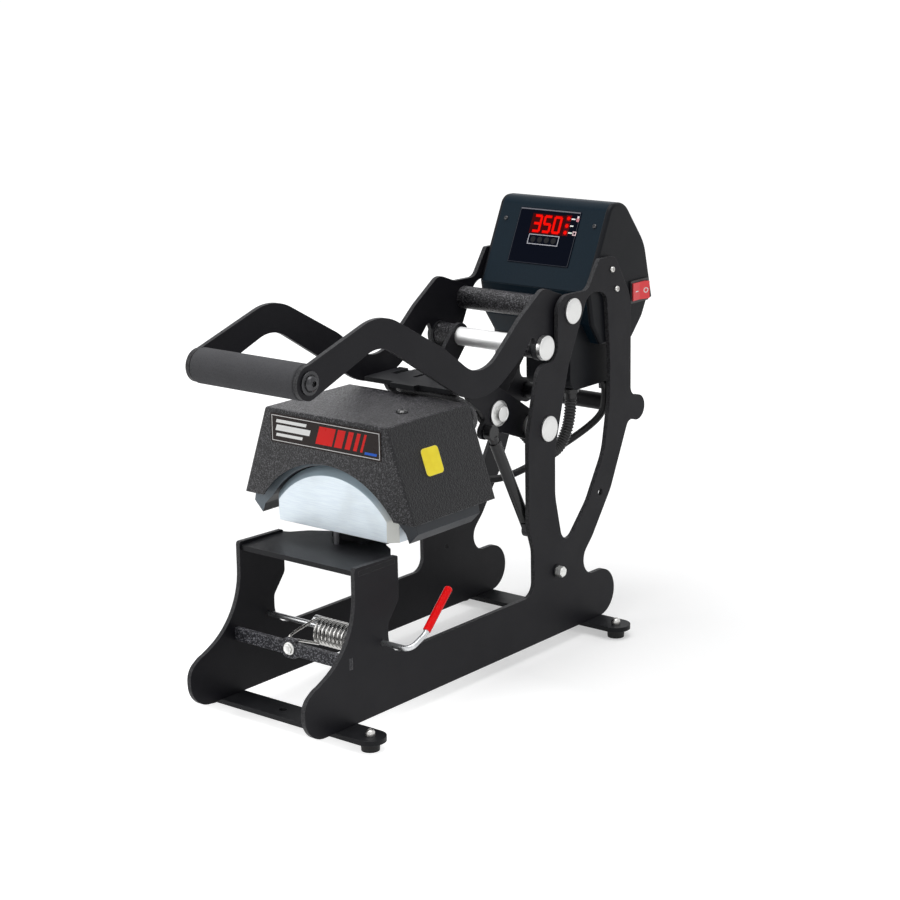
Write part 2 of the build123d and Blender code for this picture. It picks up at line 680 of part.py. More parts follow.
# ---------------------------------------------------------------- gas springs
spring_x = 61.0
spring_run = hypot(spring_foot[0] - spring_top[0], spring_foot[1] - spring_top[1])
spring_dir = ((spring_top[0] - spring_foot[0]) / spring_run, (spring_top[1] - spring_foot[1]) / spring_run)
rod_r = 3.0
rod_len = 62.0
cylinder_start = 14.5
bore_end = rod_len + 14.0
foot_plane = Plane(origin=(spring_x, spring_foot[0], spring_foot[1]), x_dir=(1, 0, 0),
                   z_dir=(0, spring_dir[0], spring_dir[1]))
with BuildPart() as gas_rods:
    with BuildSketch(Plane.YZ.offset(spring_x - 4.0)):
        with Locations(spring_foot):
            Circle(7.0)
    extrude(amount=8.0)
    with BuildSketch(foot_plane):
        Circle(6.0)
    extrude(amount=13.0)
    with BuildSketch(foot_plane):
        Circle(rod_r)
    extrude(amount=rod_len)
    with BuildSketch(Plane.YZ.offset(spring_x - 8.0)):
        with Locations(spring_foot):
            Circle(stud_r + fit)
    extrude(amount=16.0, mode=Mode.SUBTRACT)
    mirror(about=Plane.YZ)
gas_rods.part.label = "gas_rods"
export_step(gas_rods.part, "parts/gas_rods.step")

with BuildPart() as gas_cylinders:
    with BuildSketch(foot_plane.offset(cylinder_start)):
        Circle(6.0)
    extrude(amount=spring_run - 12.0 - cylinder_start)
    with BuildSketch(foot_plane.offset(spring_run - 14.0)):
        Circle(5.0)
    extrude(amount=9.0)
    with BuildSketch(Plane.YZ.offset(spring_x - 4.0)):
        with Locations(spring_top):
            Circle(7.5)
    extrude(amount=8.0)
    with BuildSketch(foot_plane.offset(cylinder_start)):
        Circle(rod_r + fit)
    extrude(amount=bore_end - cylinder_start, mode=Mode.SUBTRACT)
    mirror(about=Plane.YZ)
gas_cylinders.part.label = "gas_cylinders"
export_step(gas_cylinders.part, "parts/gas_cylinders.step")

# ---------------------------------------------------------------- hold-down lever, spring and post
lever_x = 109.3
lever_end = (-115.6, 126.0)
with BuildPart() as hold_down_rod:
    with BuildLine() as lever_path:
        FilletPolyline((-80.0, lever_axis[0], lever_axis[1]), (lever_x, lever_axis[0], lever_axis[1]),
                       (lever_x, -151.1, 91.2), (lever_x, lever_end[0], lever_end[1]), radius=[8.0, 15.0])
    with BuildSketch(Plane(origin=lever_path.line @ 0, z_dir=lever_path.line % 0)):
        Circle(2.75)
    sweep()
hold_down_rod.part.label = "hold_down_rod"
export_step(hold_down_rod.part, "parts/hold_down_rod.step")

lever_run = hypot(lever_end[0] + 151.1, lever_end[1] - 91.2)
lever_dir = ((lever_end[0] + 151.1) / lever_run, (lever_end[1] - 91.2) / lever_run)
sleeve_len = lever_run - 4.5
sleeve_plane = Plane(origin=(lever_x, lever_end[0] - lever_dir[0] * sleeve_len, lever_end[1] - lever_dir[1] * sleeve_len),
                     x_dir=(1, 0, 0), z_dir=(0, lever_dir[0], lever_dir[1]))
with BuildPart() as vinyl_sleeve:
    with BuildSketch(sleeve_plane):
        Circle(3.9)
    extrude(amount=sleeve_len + 3.0)
    fillet(vinyl_sleeve.faces().sort_by(Axis.Z)[-1].edges(), radius=2.6)
    with BuildSketch(sleeve_plane):
        Circle(2.75)
    extrude(amount=sleeve_len, mode=Mode.SUBTRACT)
vinyl_sleeve.part.label = "vinyl_sleeve"
export_step(vinyl_sleeve.part, "parts/vinyl_sleeve.step")

post_y = lever_axis[0] + 4.4
post_z = lever_axis[1] + 3.1
with BuildPart() as spring_post:
    with BuildSketch(Plane.YZ.offset(-16.0)):
        with Locations((post_y, post_z)):
            Circle(2.5)
    extrude(amount=frame_in + 16.0)
    with BuildSketch(Plane.YZ.offset(-14.0)):
        with Locations((post_y + 1.0, post_z + 0.7)):
            Circle(4.2)
        with Locations((lever_axis[0], lever_axis[1])):
            Circle(3.2, mode=Mode.SUBTRACT)
    extrude(amount=6.0)
spring_post.part.label = "spring_post"
export_step(spring_post.part, "parts/spring_post.step")

coil_r = 12.4
wire_r = 1.4
coil_y = lever_axis[0] + 2.0
coil_z = post_z - sqrt((coil_r - wire_r - 2.6) ** 2 - (post_y - coil_y) ** 2)
with BuildPart() as hold_down_spring:
    with BuildLine() as coil_line:
        Helix(pitch=5.0, height=42.0, radius=coil_r, center=(-6.0, coil_y, coil_z), direction=(1, 0, 0))
    with BuildSketch(Plane(origin=coil_line.line @ 0, z_dir=coil_line.line % 0)):
        Circle(wire_r)
    sweep(is_frenet=True)
hold_down_spring.part.label = "hold_down_spring"
export_step(hold_down_spring.part, "parts/hold_down_spring.step")
print("coil start", coil_line.line @ 0, coil_line.line % 0)
print("coil end", coil_line.line @ 1, coil_line.line % 1)

# ---------------------------------------------------------------- controller housing
housing_outline = [
    (164.6, 363.0, 0), (205.4, 449.4, 14), (230.0, 449.4, 24), (267.0, 402.0, 50), (281.5, 341.2, 0),
    (271.0, 340.0, 2), (262.5, 324.0, 25), (243.0, 303.5, 4), (188.0, 305.0, 4), (172.0, 327.0, 3),
]
seam_outline = [(150.0, 362.0), (175.0, 362.0), (262.0, 340.6), (300.0, 340.6), (300.0, 290.0), (150.0, 290.0)]
with BuildPart() as controller_side_walls:
    with BuildSketch(Plane.YZ.offset(shell_half)):
        with BuildLine():
            FilletPolyline(*[p[:2] for p in housing_outline], radius=[p[2] for p in housing_outline], close=True)
        make_face()
        with Locations(*wall_screws):
            Circle(2.5, mode=Mode.SUBTRACT)
        with Locations((254.0, 352.5)):
            Rectangle(29, 20, mode=Mode.SUBTRACT)
    extrude(amount=side_wall_t)
    fillet(controller_side_walls.faces().sort_by(Axis.X)[-1].outer_wire().edges().filter_by(
        lambda e: e.center().Z > 345.0), radius=side_wall_round)
    mirror(about=Plane.YZ)
controller_side_walls.part.label = "controller_side_walls"
export_step(controller_side_walls.part, "parts/controller_side_walls.step")

panel_dir = (205.4 - 164.6, 449.4 - 363.0)
panel_run = hypot(*panel_dir)
panel = Plane(origin=(0, 164.6, 363.0), x_dir=(1, 0, 0), z_dir=(0, -panel_dir[1] / panel_run, panel_dir[0] / panel_run))
panel_screw_x = 57.5
panel_screw_v = 70.3
with BuildPart() as controller_shell:
    with BuildSketch(Plane.YZ.offset(-shell_half)) as shell_section:
        with BuildLine():
            FilletPolyline(*[p[:2] for p in housing_outline], radius=[p[2] for p in housing_outline], close=True)
        make_face()
        offset(amount=-box_wall, kind=Kind.INTERSECTION, mode=Mode.SUBTRACT)
        with BuildLine():
            Polyline(*seam_outline, close=True)
        make_face(mode=Mode.SUBTRACT)
    extrude(amount=2 * shell_half)
    with BuildSketch(panel):
        with Locations((-panel_screw_x, panel_screw_v), (panel_screw_x, panel_screw_v)):
            Circle(1.8)
    extrude(amount=-box_wall - 0.5, mode=Mode.SUBTRACT)
controller_shell.part.label = "controller_shell"
export_step(controller_shell.part, "parts/controller_shell.step")

with BuildPart() as controller_base:
    with BuildSketch(Plane.YZ.offset(-shell_half)):
        with BuildLine():
            FilletPolyline(*[p[:2] for p in housing_outline], radius=[p[2] for p in housing_outline], close=True)
        make_face()
        offset(amount=-box_wall, kind=Kind.INTERSECTION, mode=Mode.SUBTRACT)
        with BuildLine():
            Polyline(*seam_outline, close=True)
        make_face(mode=Mode.INTERSECT)
    extrude(amount=2 * shell_half)
controller_base.part.label = "controller_base"
export_step(controller_base.part, "parts/controller_base.step")

with BuildPart() as relay_box:
    with BuildSketch(Plane.YZ):
        with BuildLine():
            FilletPolyline((152.0, 260.0), (238.0, 260.0), (238.0, 303.6), (188.0, 305.0), (172.0, 327.0), (152.0, 316.0),
                           radius=[12.0, 8.0, 0, 4.0, 0, 8.0], close=True)
        make_face()
    extrude(amount=57.0)
relay_box.part.label = "relay_box"
export_step(relay_box.part, "parts/relay_box.step")

label_t = 0.6
with BuildPart() as display_label:
    with BuildSketch(panel):
        with Locations((-1.8, 53.8)):
            RectangleRounded(79.0, 60.6, 1.5)
    extrude(amount=label_t)
display_label.part.label = "display_label"
export_step(display_label.part, "parts/display_label.step")

digit_w = 8.0
digit_h = 16.6
stroke = 2.6
segments = {
    "a": (0, digit_h / 2, digit_w, stroke), "b": (digit_w / 2, digit_h / 4, stroke, digit_h / 2),
    "c": (digit_w / 2, -digit_h / 4, stroke, digit_h / 2), "d": (0, -digit_h / 2, digit_w, stroke),
    "e": (-digit_w / 2, -digit_h / 4, stroke, digit_h / 2), "f": (-digit_w / 2, digit_h / 4, stroke, digit_h / 2),
    "g": (0, 0, digit_w, stroke),
}
with BuildPart() as display_digits:
    with BuildSketch(panel.offset(label_t)):
        for digit_x, lit in ((-14.9, "abcdg"), (-2.1, "acdfg"), (10.7, "abcdef")):
            for name in lit:
                with Locations((digit_x + segments[name][0], 67.5 + segments[name][1])):
                    Rectangle(segments[name][2] + 0.2, segments[name][3] + 0.2)
        with Locations((23.3, 75.9), (23.3, 67.8), (23.3, 60.4)):
            Circle(2.1)
    extrude(amount=0.3)
display_digits.part.label = "display_digits"
export_step(display_digits.part, "parts/display_digits.step")

with BuildPart() as key_pad:
    with BuildSketch(panel.offset(label_t)):
        with Locations((-2.0, 50.2)):
            Rectangle(39.4, 11.0)
            Rectangle(37.8, 9.4, mode=Mode.SUBTRACT)
        with Locations((-15.2, 50.2), (-6.4, 50.2), (2.4, 50.2), (11.2, 50.2)):
            Circle(3.2)
    extrude(amount=0.3)
key_pad.part.label = "key_pad"
export_step(key_pad.part, "parts/key_pad.step")

with BuildPart() as controller_screws:
    with BuildSketch(panel):
        with Locations((panel_screw_x, panel_screw_v)):
            Circle(panel_head_r)
    extrude(amount=1.4)
    with BuildSketch(panel.offset(-6.0)):
        with Locations((panel_screw_x, panel_screw_v)):
            Circle(1.8)
    extrude(amount=6.0)
    with BuildSketch(Plane.YZ.offset(frame_out)):
        with Locations(*wall_screws):
            Circle(wall_head_r)
    extrude(amount=2.2)
    with BuildSketch(Plane.YZ.offset(shell_half)):
        with Locations(*wall_screws):
            Circle(2.5)
    extrude(amount=frame_out - shell_half)
    mirror(about=Plane.YZ)
controller_screws.part.label = "controller_screws"
export_step(controller_screws.part, "parts/controller_screws.step")

# ---------------------------------------------------------------- power switch and inlet
rocker_axis = (66.0, 254.0)
rocker_z = 352.5
window_half = 13.9
with BuildPart() as rocker_bezel:
    with BuildSketch(Plane.YZ.offset(frame_in)):
        with Locations((rocker_axis[1], rocker_z)):
            RectangleRounded(33, 24, 2)
            Rectangle(2 * window_half, 19, mode=Mode.SUBTRACT)
    extrude(amount=2.0)
    with BuildSketch(Plane.YZ.offset(56.0)):
        with Locations((rocker_axis[1], rocker_z)):
            Rectangle(29, 20)
    extrude(amount=frame_in - 56.0)
    with BuildSketch(Plane.YZ.offset(58.0)):
        with Locations((rocker_axis[1], rocker_z)):
            Rectangle(2 * window_half, 19)
    extrude(amount=frame_in - 58.0, mode=Mode.SUBTRACT)
rocker_bezel.part.label = "rocker_bezel"
export_step(rocker_bezel.part, "parts/rocker_bezel.step")

rocker_tilt = radians(-8)
rocker_plane = Plane(origin=(rocker_axis[0], rocker_axis[1], rocker_z - 9.2),
                     x_dir=(cos(rocker_tilt), sin(rocker_tilt), 0), z_dir=(0, 0, 1))
with BuildPart() as rocker:
    with BuildSketch(rocker_plane):
        with BuildLine():
            Polyline((-4.0, -9.5), (10.6, -12.6), (8.0, 0), (10.6, 12.6), (-4.0, 9.5), close=True)
        make_face()
    extrude(amount=18.4)
rocker.part.label = "rocker"
export_step(rocker.part, "parts/rocker.step")

with BuildPart() as power_inlet:
    with BuildSketch(Plane.YZ.offset(-frame_in)):
        with Locations((rocker_axis[1], rocker_z)):
            RectangleRounded(33, 25, 2)
    extrude(amount=-2.0)
    with BuildSketch(Plane.YZ.offset(-frame_in)):
        with Locations((rocker_axis[1], rocker_z)):
            Rectangle(29, 20)
    extrude(amount=20.0)
    with BuildSketch(Plane.YZ.offset(-frame_in - 2.0)):
        with Locations((rocker_axis[1], rocker_z)):
            RectangleRounded(24.5, 16.5, 3)
    extrude(amount=17.0, mode=Mode.SUBTRACT)
    with BuildSketch(Plane.YZ.offset(-frame_in + 15.0)):
        with Locations((rocker_axis[1], rocker_z + 2), (rocker_axis[1] - 7, rocker_z - 2), (rocker_axis[1] + 7, rocker_z - 2)):
            Rectangle(2, 4)
    extrude(amount=-14.0)
power_inlet.part.label = "power_inlet"
export_step(power_inlet.part, "parts/power_inlet.step")

# ---------------------------------------------------------------- heater lead, switch cable, glands
gland_lead = (47.0, 166.0)
gland_switch = (48.0, 226.0)
gland_len = 10.0
with BuildPart() as cable_glands:
    with BuildSketch(Plane.XY.offset(260.0)):
        with Locations(gland_lead, gland_switch):
            RegularPolygon(8.0, 6, major_radius=False)
    extrude(amount=-4.0)
    with BuildSketch(Plane.XY.offset(256.0)):
        with Locations(gland_lead, gland_switch):
            Circle(6.6)
    extrude(amount=4.0 - gland_len)
cable_glands.part.label = "cable_glands"
export_step(cable_glands.part, "parts/cable_glands.step")

lead_head = [
    (74.0, -41.0, 257.5), (74.0, -29.5, 261.0), (70.0, -22.5, 272.5), (59.0, -26.0, 284.5), (39.0, -32.5, 288.6),
    (14.0, -35.6, 288.8), (-12.0, -35.3, 288.8), (-25.0, -25.0, 288.0), (-28.5, -5.0, 286.5), (-27.0, 18.0, 284.5),
    (-25.0, 43.0, 276.5), (-23.0, 64.0, 259.0), (-20.0, 79.0, 244.0), (-10.0, 88.0, pivot_arm[1]), (2.0, 88.0, pivot_arm[1]),
]
lead_root = [
    (2.4, 88.0, pivot_arm[1]), (20.0, 88.0, pivot_arm[1]), (36.0, 94.0, 229.0), (43.0, 109.0, 209.0),
    (45.0, 128.0, 196.0), (46.0, 147.0, 200.0), (47.0, 160.0, 217.0), (gland_lead[0], gland_lead[1], 238.0),
    (gland_lead[0], gland_lead[1], 250.0),
]
switch_route = [
    (gland_switch[0], gland_switch[1], 250.0), (gland_switch[0], gland_switch[1], 236.0), (45.0, 225.5, 221.0), (34.0, 213.0, 206.0),
    (15.0, 187.0, 187.0), (-6.0, 158.0, 167.0), (-28.5, 134.9, 155.3), (-50.0, 116.0, 160.0), (-60.0, 104.0, 168.5),
    (-64.0, 97.0, 181.5), (-64.0, 97.0, 194.0),
]


def corner_radii(route):
    """Arc radius at each inner point: 0.45 of the shorter run over the tangent of half the turn."""
    radii = []
    for before, here, after in zip(route, route[1:], route[2:]):
        run_in = Vector(*here) - Vector(*before)
        run_out = Vector(*after) - Vector(*here)
        shorter = min(run_in.length, run_out.length)
        radii.append(0.45 * shorter / tan(radians(run_in.get_angle(run_out) / 2)))
    return radii


with BuildPart() as heater_lead_front:
    with BuildLine() as front_line:
        FilletPolyline(*lead_head, radius=corner_radii(lead_head))
    with BuildSketch(Plane(origin=front_line.line @ 0, z_dir=front_line.line % 0)):
        Circle(3.5)
    sweep()
heater_lead_front.part.label = "heater_lead_front"
export_step(heater_lead_front.part, "parts/heater_lead_front.step")

with BuildPart() as heater_lead_rear:
    with BuildLine() as rear_line:
        FilletPolyline(*lead_root, radius=corner_radii(lead_root))
    with BuildSketch(Plane(origin=rear_line.line @ 0, z_dir=rear_line.line % 0)):
        Circle(6.5)
    sweep()
heater_lead_rear.part.label = "heater_lead_rear"
export_step(heater_lead_rear.part, "parts/heater_lead_rear.step")

with BuildPart() as switch_cable:
    with BuildLine() as switch_line:
        FilletPolyline(*switch_route, radius=corner_radii(switch_route))
    with BuildSketch(Plane(origin=switch_line.line @ 0, z_dir=switch_line.line % 0)):
        Circle(4.0)
    sweep()
switch_cable.part.label = "switch_cable"
export_step(switch_cable.part, "parts/switch_cable.step")

for name, route, line, r, piece in (
    ("heater lead front", lead_head, front_line, 3.5, heater_lead_front),
    ("heater lead rear", lead_root, rear_line, 6.5, heater_lead_rear),
    ("switch cable", switch_route, switch_line, 4.0, switch_cable),
):
    length = sum(edge.length for edge in line.edges())
    print(name, "length", round(length, 1), "radii", [round(v, 1) for v in corner_radii(route)])
    print("   volume", round(piece.part.volume), "section x length", round(3.14159265 * r * r * length))

with BuildPart() as closing_switch:
    with Locations((-(frame_in + 58.0) / 2, 93.4, 205.0)):
        Box(frame_in - 58.0, 22, 22)
    with Locations((-64.6, 93.4, 217.5)):
        Box(7, 5, 3)
closing_switch.part.label = "closing_switch"
export_step(closing_switch.part, "parts/closing_switch.step")
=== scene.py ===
import bpy
import bmesh
from math import cos, pi, radians, sin
from mathutils import Matrix, Vector


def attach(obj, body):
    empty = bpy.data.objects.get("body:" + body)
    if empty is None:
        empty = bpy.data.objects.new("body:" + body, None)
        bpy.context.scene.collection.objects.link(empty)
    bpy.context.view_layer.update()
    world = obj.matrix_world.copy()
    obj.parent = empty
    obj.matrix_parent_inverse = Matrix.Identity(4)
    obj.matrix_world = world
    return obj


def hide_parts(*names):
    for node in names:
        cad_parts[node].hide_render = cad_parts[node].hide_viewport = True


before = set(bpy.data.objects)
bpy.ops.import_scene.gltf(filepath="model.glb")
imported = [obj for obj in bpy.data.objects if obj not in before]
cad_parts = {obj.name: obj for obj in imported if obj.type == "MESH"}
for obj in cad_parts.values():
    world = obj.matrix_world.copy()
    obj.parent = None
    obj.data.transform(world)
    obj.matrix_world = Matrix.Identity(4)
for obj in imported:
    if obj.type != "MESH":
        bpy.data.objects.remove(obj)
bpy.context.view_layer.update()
mm = 0.001

# ---- Studio -----------------------------------------------------------------------------
# A wide pale floor, a white world and three soft lamps. The camera stands to the
# right of the press and a little above it, and leans by about one degree.
camera_azimuth = 0.689376
camera_elevation = 0.250092
camera_lean = -0.018331
back = Vector((sin(camera_azimuth) * cos(camera_elevation), -cos(camera_azimuth) * cos(camera_elevation),
    sin(camera_elevation)))
level = Vector((cos(camera_azimuth), sin(camera_azimuth), 0))
upright = back.cross(level)
across = cos(camera_lean) * level + sin(camera_lean) * upright
upward = cos(camera_lean) * upright - sin(camera_lean) * level
camera = bpy.data.objects.new("camera", bpy.data.cameras.new("camera"))
camera.data.sensor_width = 36
camera.data.lens = 86.7
camera.data.clip_end = 50
camera.matrix_world = Matrix.Translation((1.3493, -1.6131, 0.7583)) @ Matrix((across, upward,
    back)).transposed().to_4x4()
bpy.context.scene.collection.objects.link(camera)
bpy.context.scene.camera = camera
bpy.context.scene.view_settings.view_transform = "Standard"


def add_node(tree, kind, sockets=None, **settings):
    """A shader node of one kind, its settings set, and each named socket given a value or a link."""
    node = tree.nodes.new("ShaderNode" + kind)
    for key, value in settings.items():
        setattr(node, key, value)
    for key, value in (sockets or {}).items():
        if isinstance(value, bpy.types.NodeSocket):
            tree.links.new(value, node.inputs[key])
        else:
            node.inputs[key].default_value = value
    return node


def seen_directly(tree):
    """1 for what the camera, a mirror or a glass shows, 0 for what only lights the press."""
    path = add_node(tree, "LightPath")
    shown = add_node(tree, "Math", {0: path.outputs["Is Camera Ray"], 1: path.outputs["Is Glossy Ray"]},
        operation="ADD", use_clamp=True)
    return add_node(tree, "Math", {0: shown.outputs[0], 1: path.outputs["Is Transmission Ray"]},
        operation="ADD", use_clamp=True).outputs[0]


world = bpy.data.worlds.new("white studio")
bpy.context.scene.world = world
world.use_nodes = True
sky = world.node_tree
sky.nodes.clear()
sky_strength = add_node(sky, "MapRange", {"Value": seen_directly(sky), "To Min": 0.45, "To Max": 1.0})
sky_light = add_node(sky, "Background", {"Color": (0.985, 0.992, 1, 1),
    "Strength": sky_strength.outputs[0]})
add_node(sky, "OutputWorld", {"Surface": sky_light.outputs[0]})

floor_mesh = bpy.data.meshes.new("floor")
floor_size = 14
floor_mesh.from_pydata([(x * floor_size, y * floor_size, 0) for x,
    y in ((-1, -1), (1, -1), (1, 1), (-1, 1))],
    [], [(0, 1, 2, 3)])
floor = bpy.data.objects.new("floor", floor_mesh)
bpy.context.scene.collection.objects.link(floor)
paper = bpy.data.materials.new("white paper")
paper.use_nodes = True
sheet_tree = paper.node_tree
paper_skin = sheet_tree.nodes["Principled BSDF"]
paper_skin.inputs["Base Color"].default_value = (0.62, 0.62, 0.62, 1)
paper_skin.inputs["Roughness"].default_value = 0.9
paper_skin.inputs["Specular IOR Level"].default_value = 0.1
paper_skin.inputs["Emission Color"].default_value = (1, 1, 1, 1)
# The floor glows for what the camera and mirrors see, so it shows white. The glow grows away from the press
# and again towards the front: painted light laid over the press's shadows.
floor_spot = add_node(sheet_tree, "TexCoord").outputs["Object"]
floor_reach = add_node(sheet_tree, "VectorMath", {0: floor_spot}, operation="LENGTH").outputs["Value"]
glow_by_reach = add_node(sheet_tree, "MapRange", {"Value": floor_reach, "From Min": 0.3, "From Max": 1.5,
    "To Min": 0.42, "To Max": 0.75})
floor_depth = add_node(sheet_tree, "SeparateXYZ", {0: floor_spot}).outputs["Y"]
front_painted_light = add_node(sheet_tree, "MapRange", {"Value": floor_depth, "From Min": 0.02, "From Max": -0.14,
    "To Min": 0.0, "To Max": 0.36})
floor_glow_and_painted_light = add_node(sheet_tree, "Math", {0: glow_by_reach.outputs[0], 1: front_painted_light.outputs[0]}, operation="ADD")
glow = add_node(sheet_tree, "Math", {0: seen_directly(sheet_tree), 1: floor_glow_and_painted_light.outputs[0]},
    operation="MULTIPLY")
sheet_tree.links.new(glow.outputs[0], paper_skin.inputs["Emission Strength"])
floor_mesh.materials.append(paper)

for lamp_name, lamp_place, lamp_size, lamp_watts in (
    ("overhead softbox", (0.1, -0.2, 2.4), 1.8, 38),
    ("right softbox", (2.3, -0.9, 1.5), 1.2, 4),
    ("left softbox", (-1.4, -2.1, 1.3), 1.0, 17),
):
    softbox = bpy.data.lights.new(lamp_name, "AREA")
    softbox.size = lamp_size
    softbox.energy = lamp_watts
    lamp = bpy.data.objects.new(lamp_name, softbox)
    lamp.location = lamp_place
    lamp.rotation_euler = (Vector((0, 0, 0.2)) - Vector(lamp_place)).to_track_quat("-Z", "Y").to_euler()
    bpy.context.scene.collection.objects.link(lamp)

# ---- Heater lead and switch cable -------------------------------------------------------
# The platen's lead leaves the rear wall of the cover in a braided sleeve, crosses the web and
# goes on along the arm pivot axis into a ribbed hose that loops up to the relay box. A round
# rubber cable runs from the relay box down to the closing switch on the left side plate.
braid_route = [
    (74.0, -41.0, 257.5), (74.0, -29.5, 261.0), (70.0, -22.5, 272.5), (59.0, -26.0, 284.5),
    (39.0, -32.5, 288.6),
    (14.0, -35.6, 288.8), (-12.0, -35.3, 288.8), (-25.0, -25.0, 288.0), (-28.5, -5.0, 286.5),
    (-27.0, 18.0, 284.5),
    (-25.0, 43.0, 276.5), (-23.0, 64.0, 259.0), (-20.0, 79.0, 244.0), (-10.0, 88.0, 236.5),
    (2.0, 88.0, 236.5),
]
hose_route = [
    (2.4, 88.0, 236.5), (20.0, 88.0, 236.5), (36.0, 94.0, 229.0), (43.0, 109.0, 209.0),
    (45.0, 128.0, 196.0),
    (46.0, 147.0, 200.0), (47.0, 160.0, 217.0), (47.0, 166.0, 238.0), (47.0, 166.0, 250.0),
]
cable_route = [
    (48.0, 226.0, 250.0), (48.0, 226.0, 236.0), (45.0, 225.5, 221.0), (34.0, 213.0, 206.0),
    (15.0, 187.0, 187.0),
    (-6.0, 158.0, 167.0), (-28.5, 134.9, 155.3), (-50.0, 116.0, 160.0), (-60.0, 104.0, 168.5),
    (-64.0, 97.0, 181.5),
    (-64.0, 97.0, 194.0),
]


def wire(name, route, radius=0.0):
    """A round wire or cable of one smooth line through the route's points, given in mm."""
    data = bpy.data.curves.new(name, "CURVE")
    data.dimensions = "3D"
    line = data.splines.new("NURBS")
    line.points.add(len(route) - 1)
    for point, place in zip(line.points, route):
        point.co = (*(Vector(place) * mm), 1)
    line.order_u = 3
    line.use_endpoint_u = True
    line.resolution_u = 16
    data.bevel_depth = radius * mm
    data.bevel_resolution = 6
    data.use_fill_caps = True
    piece = bpy.data.objects.new(name, data)
    bpy.context.scene.collection.objects.link(piece)
    return piece


def jacket(name, route, around, step, radius_at):
    """A tube round the route's smooth line; radius_at gives its radius in mm from run and angle."""
    guide = wire(name + "_guide", route)
    line = bpy.data.meshes.new_from_object(guide.evaluated_get(bpy.context.evaluated_depsgraph_get()))
    places = [v.co.copy() for v in line.vertices]
    bpy.data.objects.remove(guide)
    runs = [0.0]
    for before, here in zip(places, places[1:]):
        runs.append(runs[-1] + (here - before).length / mm)
    count = int(runs[-1] / step)
    mesh = bpy.data.meshes.new(name)
    points, faces, run_of, turn_of = [], [], [], []
    side = None
    index = 0
    for ring in range(count + 1):
        run = runs[-1] * ring / count
        while index < len(runs) - 2 and runs[index + 1] < run:
            index += 1
        share = (run - runs[index]) / max(runs[index + 1] - runs[index], 1e-9)
        centre = places[index].lerp(places[index + 1], share)
        ahead = (places[index + 1] - places[index]).normalized()
        if index + 2 < len(places):
            ahead = ahead.lerp((places[index + 2] - places[index + 1]).normalized(), share).normalized()
        side = ahead.orthogonal() if side is None else side - ahead * side.dot(ahead)
        side.normalize()
        other = ahead.cross(side)
        for spoke in range(around):
            turn = 2 * pi * spoke / around
            points.append(centre + (cos(turn) * side + sin(turn) * other) * radius_at(run, turn) * mm)
            run_of.append(run)
            turn_of.append(turn)
    for ring in range(count):
        for spoke in range(around):
            here, beside = ring * around + spoke, ring * around + (spoke + 1) % around
            faces.append((here, beside, beside + around, here + around))
    faces.append(tuple(reversed(range(around))))
    faces.append(tuple(range(count * around, (count + 1) * around)))
    mesh.from_pydata(points, [], faces)
    mesh.shade_smooth()
    mesh.attributes.new("run", "FLOAT", "POINT").data.foreach_set("value", run_of)
    mesh.attributes.new("turn", "FLOAT", "POINT").data.foreach_set("value", turn_of)
    piece = bpy.data.objects.new(name, mesh)
    bpy.context.scene.collection.objects.link(piece)
    return piece


def effect(name, takes, gives):
    """A shader node group: takes holds each input's name and value, gives the names it puts out."""
    tree = bpy.data.node_groups.new(name, "ShaderNodeTree")
    for label, value in takes.items():
        kind = "NodeSocketFloat" if isinstance(value, float) else \
            "NodeSocketColor" if len(value) == 4 else "NodeSocketVector"
        socket = tree.interface.new_socket(name=label, in_out="INPUT", socket_type=kind)
        socket.default_value = value
    for label in gives:
        kind = {"Colour": "NodeSocketColor", "Normal": "NodeSocketVector"}.get(label, "NodeSocketFloat")
        tree.interface.new_socket(name=label, in_out="OUTPUT", socket_type=kind)
    return tree, tree.nodes.new("NodeGroupInput").outputs, tree.nodes.new("NodeGroupOutput").inputs


def place(tree, group, **values):
    """One use of an effect in a material; a value's name has _ where the socket's has a space."""
    node = add_node(tree, "Group", node_tree=group)
    for key, value in values.items():
        socket = node.inputs[key.replace("_", " ")]
        if isinstance(value, bpy.types.NodeSocket):
            tree.links.new(value, socket)
        else:
            socket.default_value = value
    return node.outputs


def calc(tree, operation, first, second=0.0, clamp=False):
    """One sum of two numbers or sockets."""
    return add_node(tree, "Math", {0: first, 1: second}, operation=operation, use_clamp=clamp).outputs[0]


def blend_colour(tree, share, first, second):
    """One colour over another by a mask."""
    node = add_node(tree, "Mix", {"Factor": share}, data_type="RGBA")
    for index, value in ((6, first), (7, second)):
        if isinstance(value, bpy.types.NodeSocket):
            tree.links.new(value, node.inputs[index])
        else:
            node.inputs[index].default_value = value
    return node.outputs[2]


def ramp(tree, value, low, high, start=0.0, end=1.0):
    """value from low to high, as start to end, smooth and clamped."""
    return add_node(tree, "MapRange", {"Value": value, "From Min": low, "From Max": high,
        "To Min": start, "To Max": end}, interpolation_type="SMOOTHSTEP").outputs[0]


def material(name, colour, roughness, metallic=0.0, **skin):
    """A new material with one Principled BSDF, whose plain values are set here."""
    made = bpy.data.materials.new(name)
    made.use_nodes = True
    shader = made.node_tree.nodes["Principled BSDF"]
    shader.inputs["Base Color"].default_value = (*colour, 1)
    shader.inputs["Roughness"].default_value = roughness
    shader.inputs["Metallic"].default_value = metallic
    for key, value in skin.items():
        shader.inputs[key.replace("_", " ")].default_value = value
    return made, made.node_tree, shader


def object_spot(tree):
    """Where a point lies in the piece's own frame."""
    return add_node(tree, "TexCoord").outputs["Object"]


def face_axes(tree):
    """The X, Y and Z of the way a face looks."""
    normal = add_node(tree, "NewGeometry").outputs["Normal"]
    return add_node(tree, "SeparateXYZ", {0: normal}).outputs


def noise(tree, spot, scale, detail):
    """Smooth noise over a place, as one value."""
    node = add_node(tree, "TexNoise", {"Vector": spot, "Scale": scale, "Detail": detail})
    return node.outputs["Fac"]


def feed(skin, name, value):
    """Links a value into one socket of a Principled BSDF."""
    skin.id_data.links.new(value, skin.inputs[name])


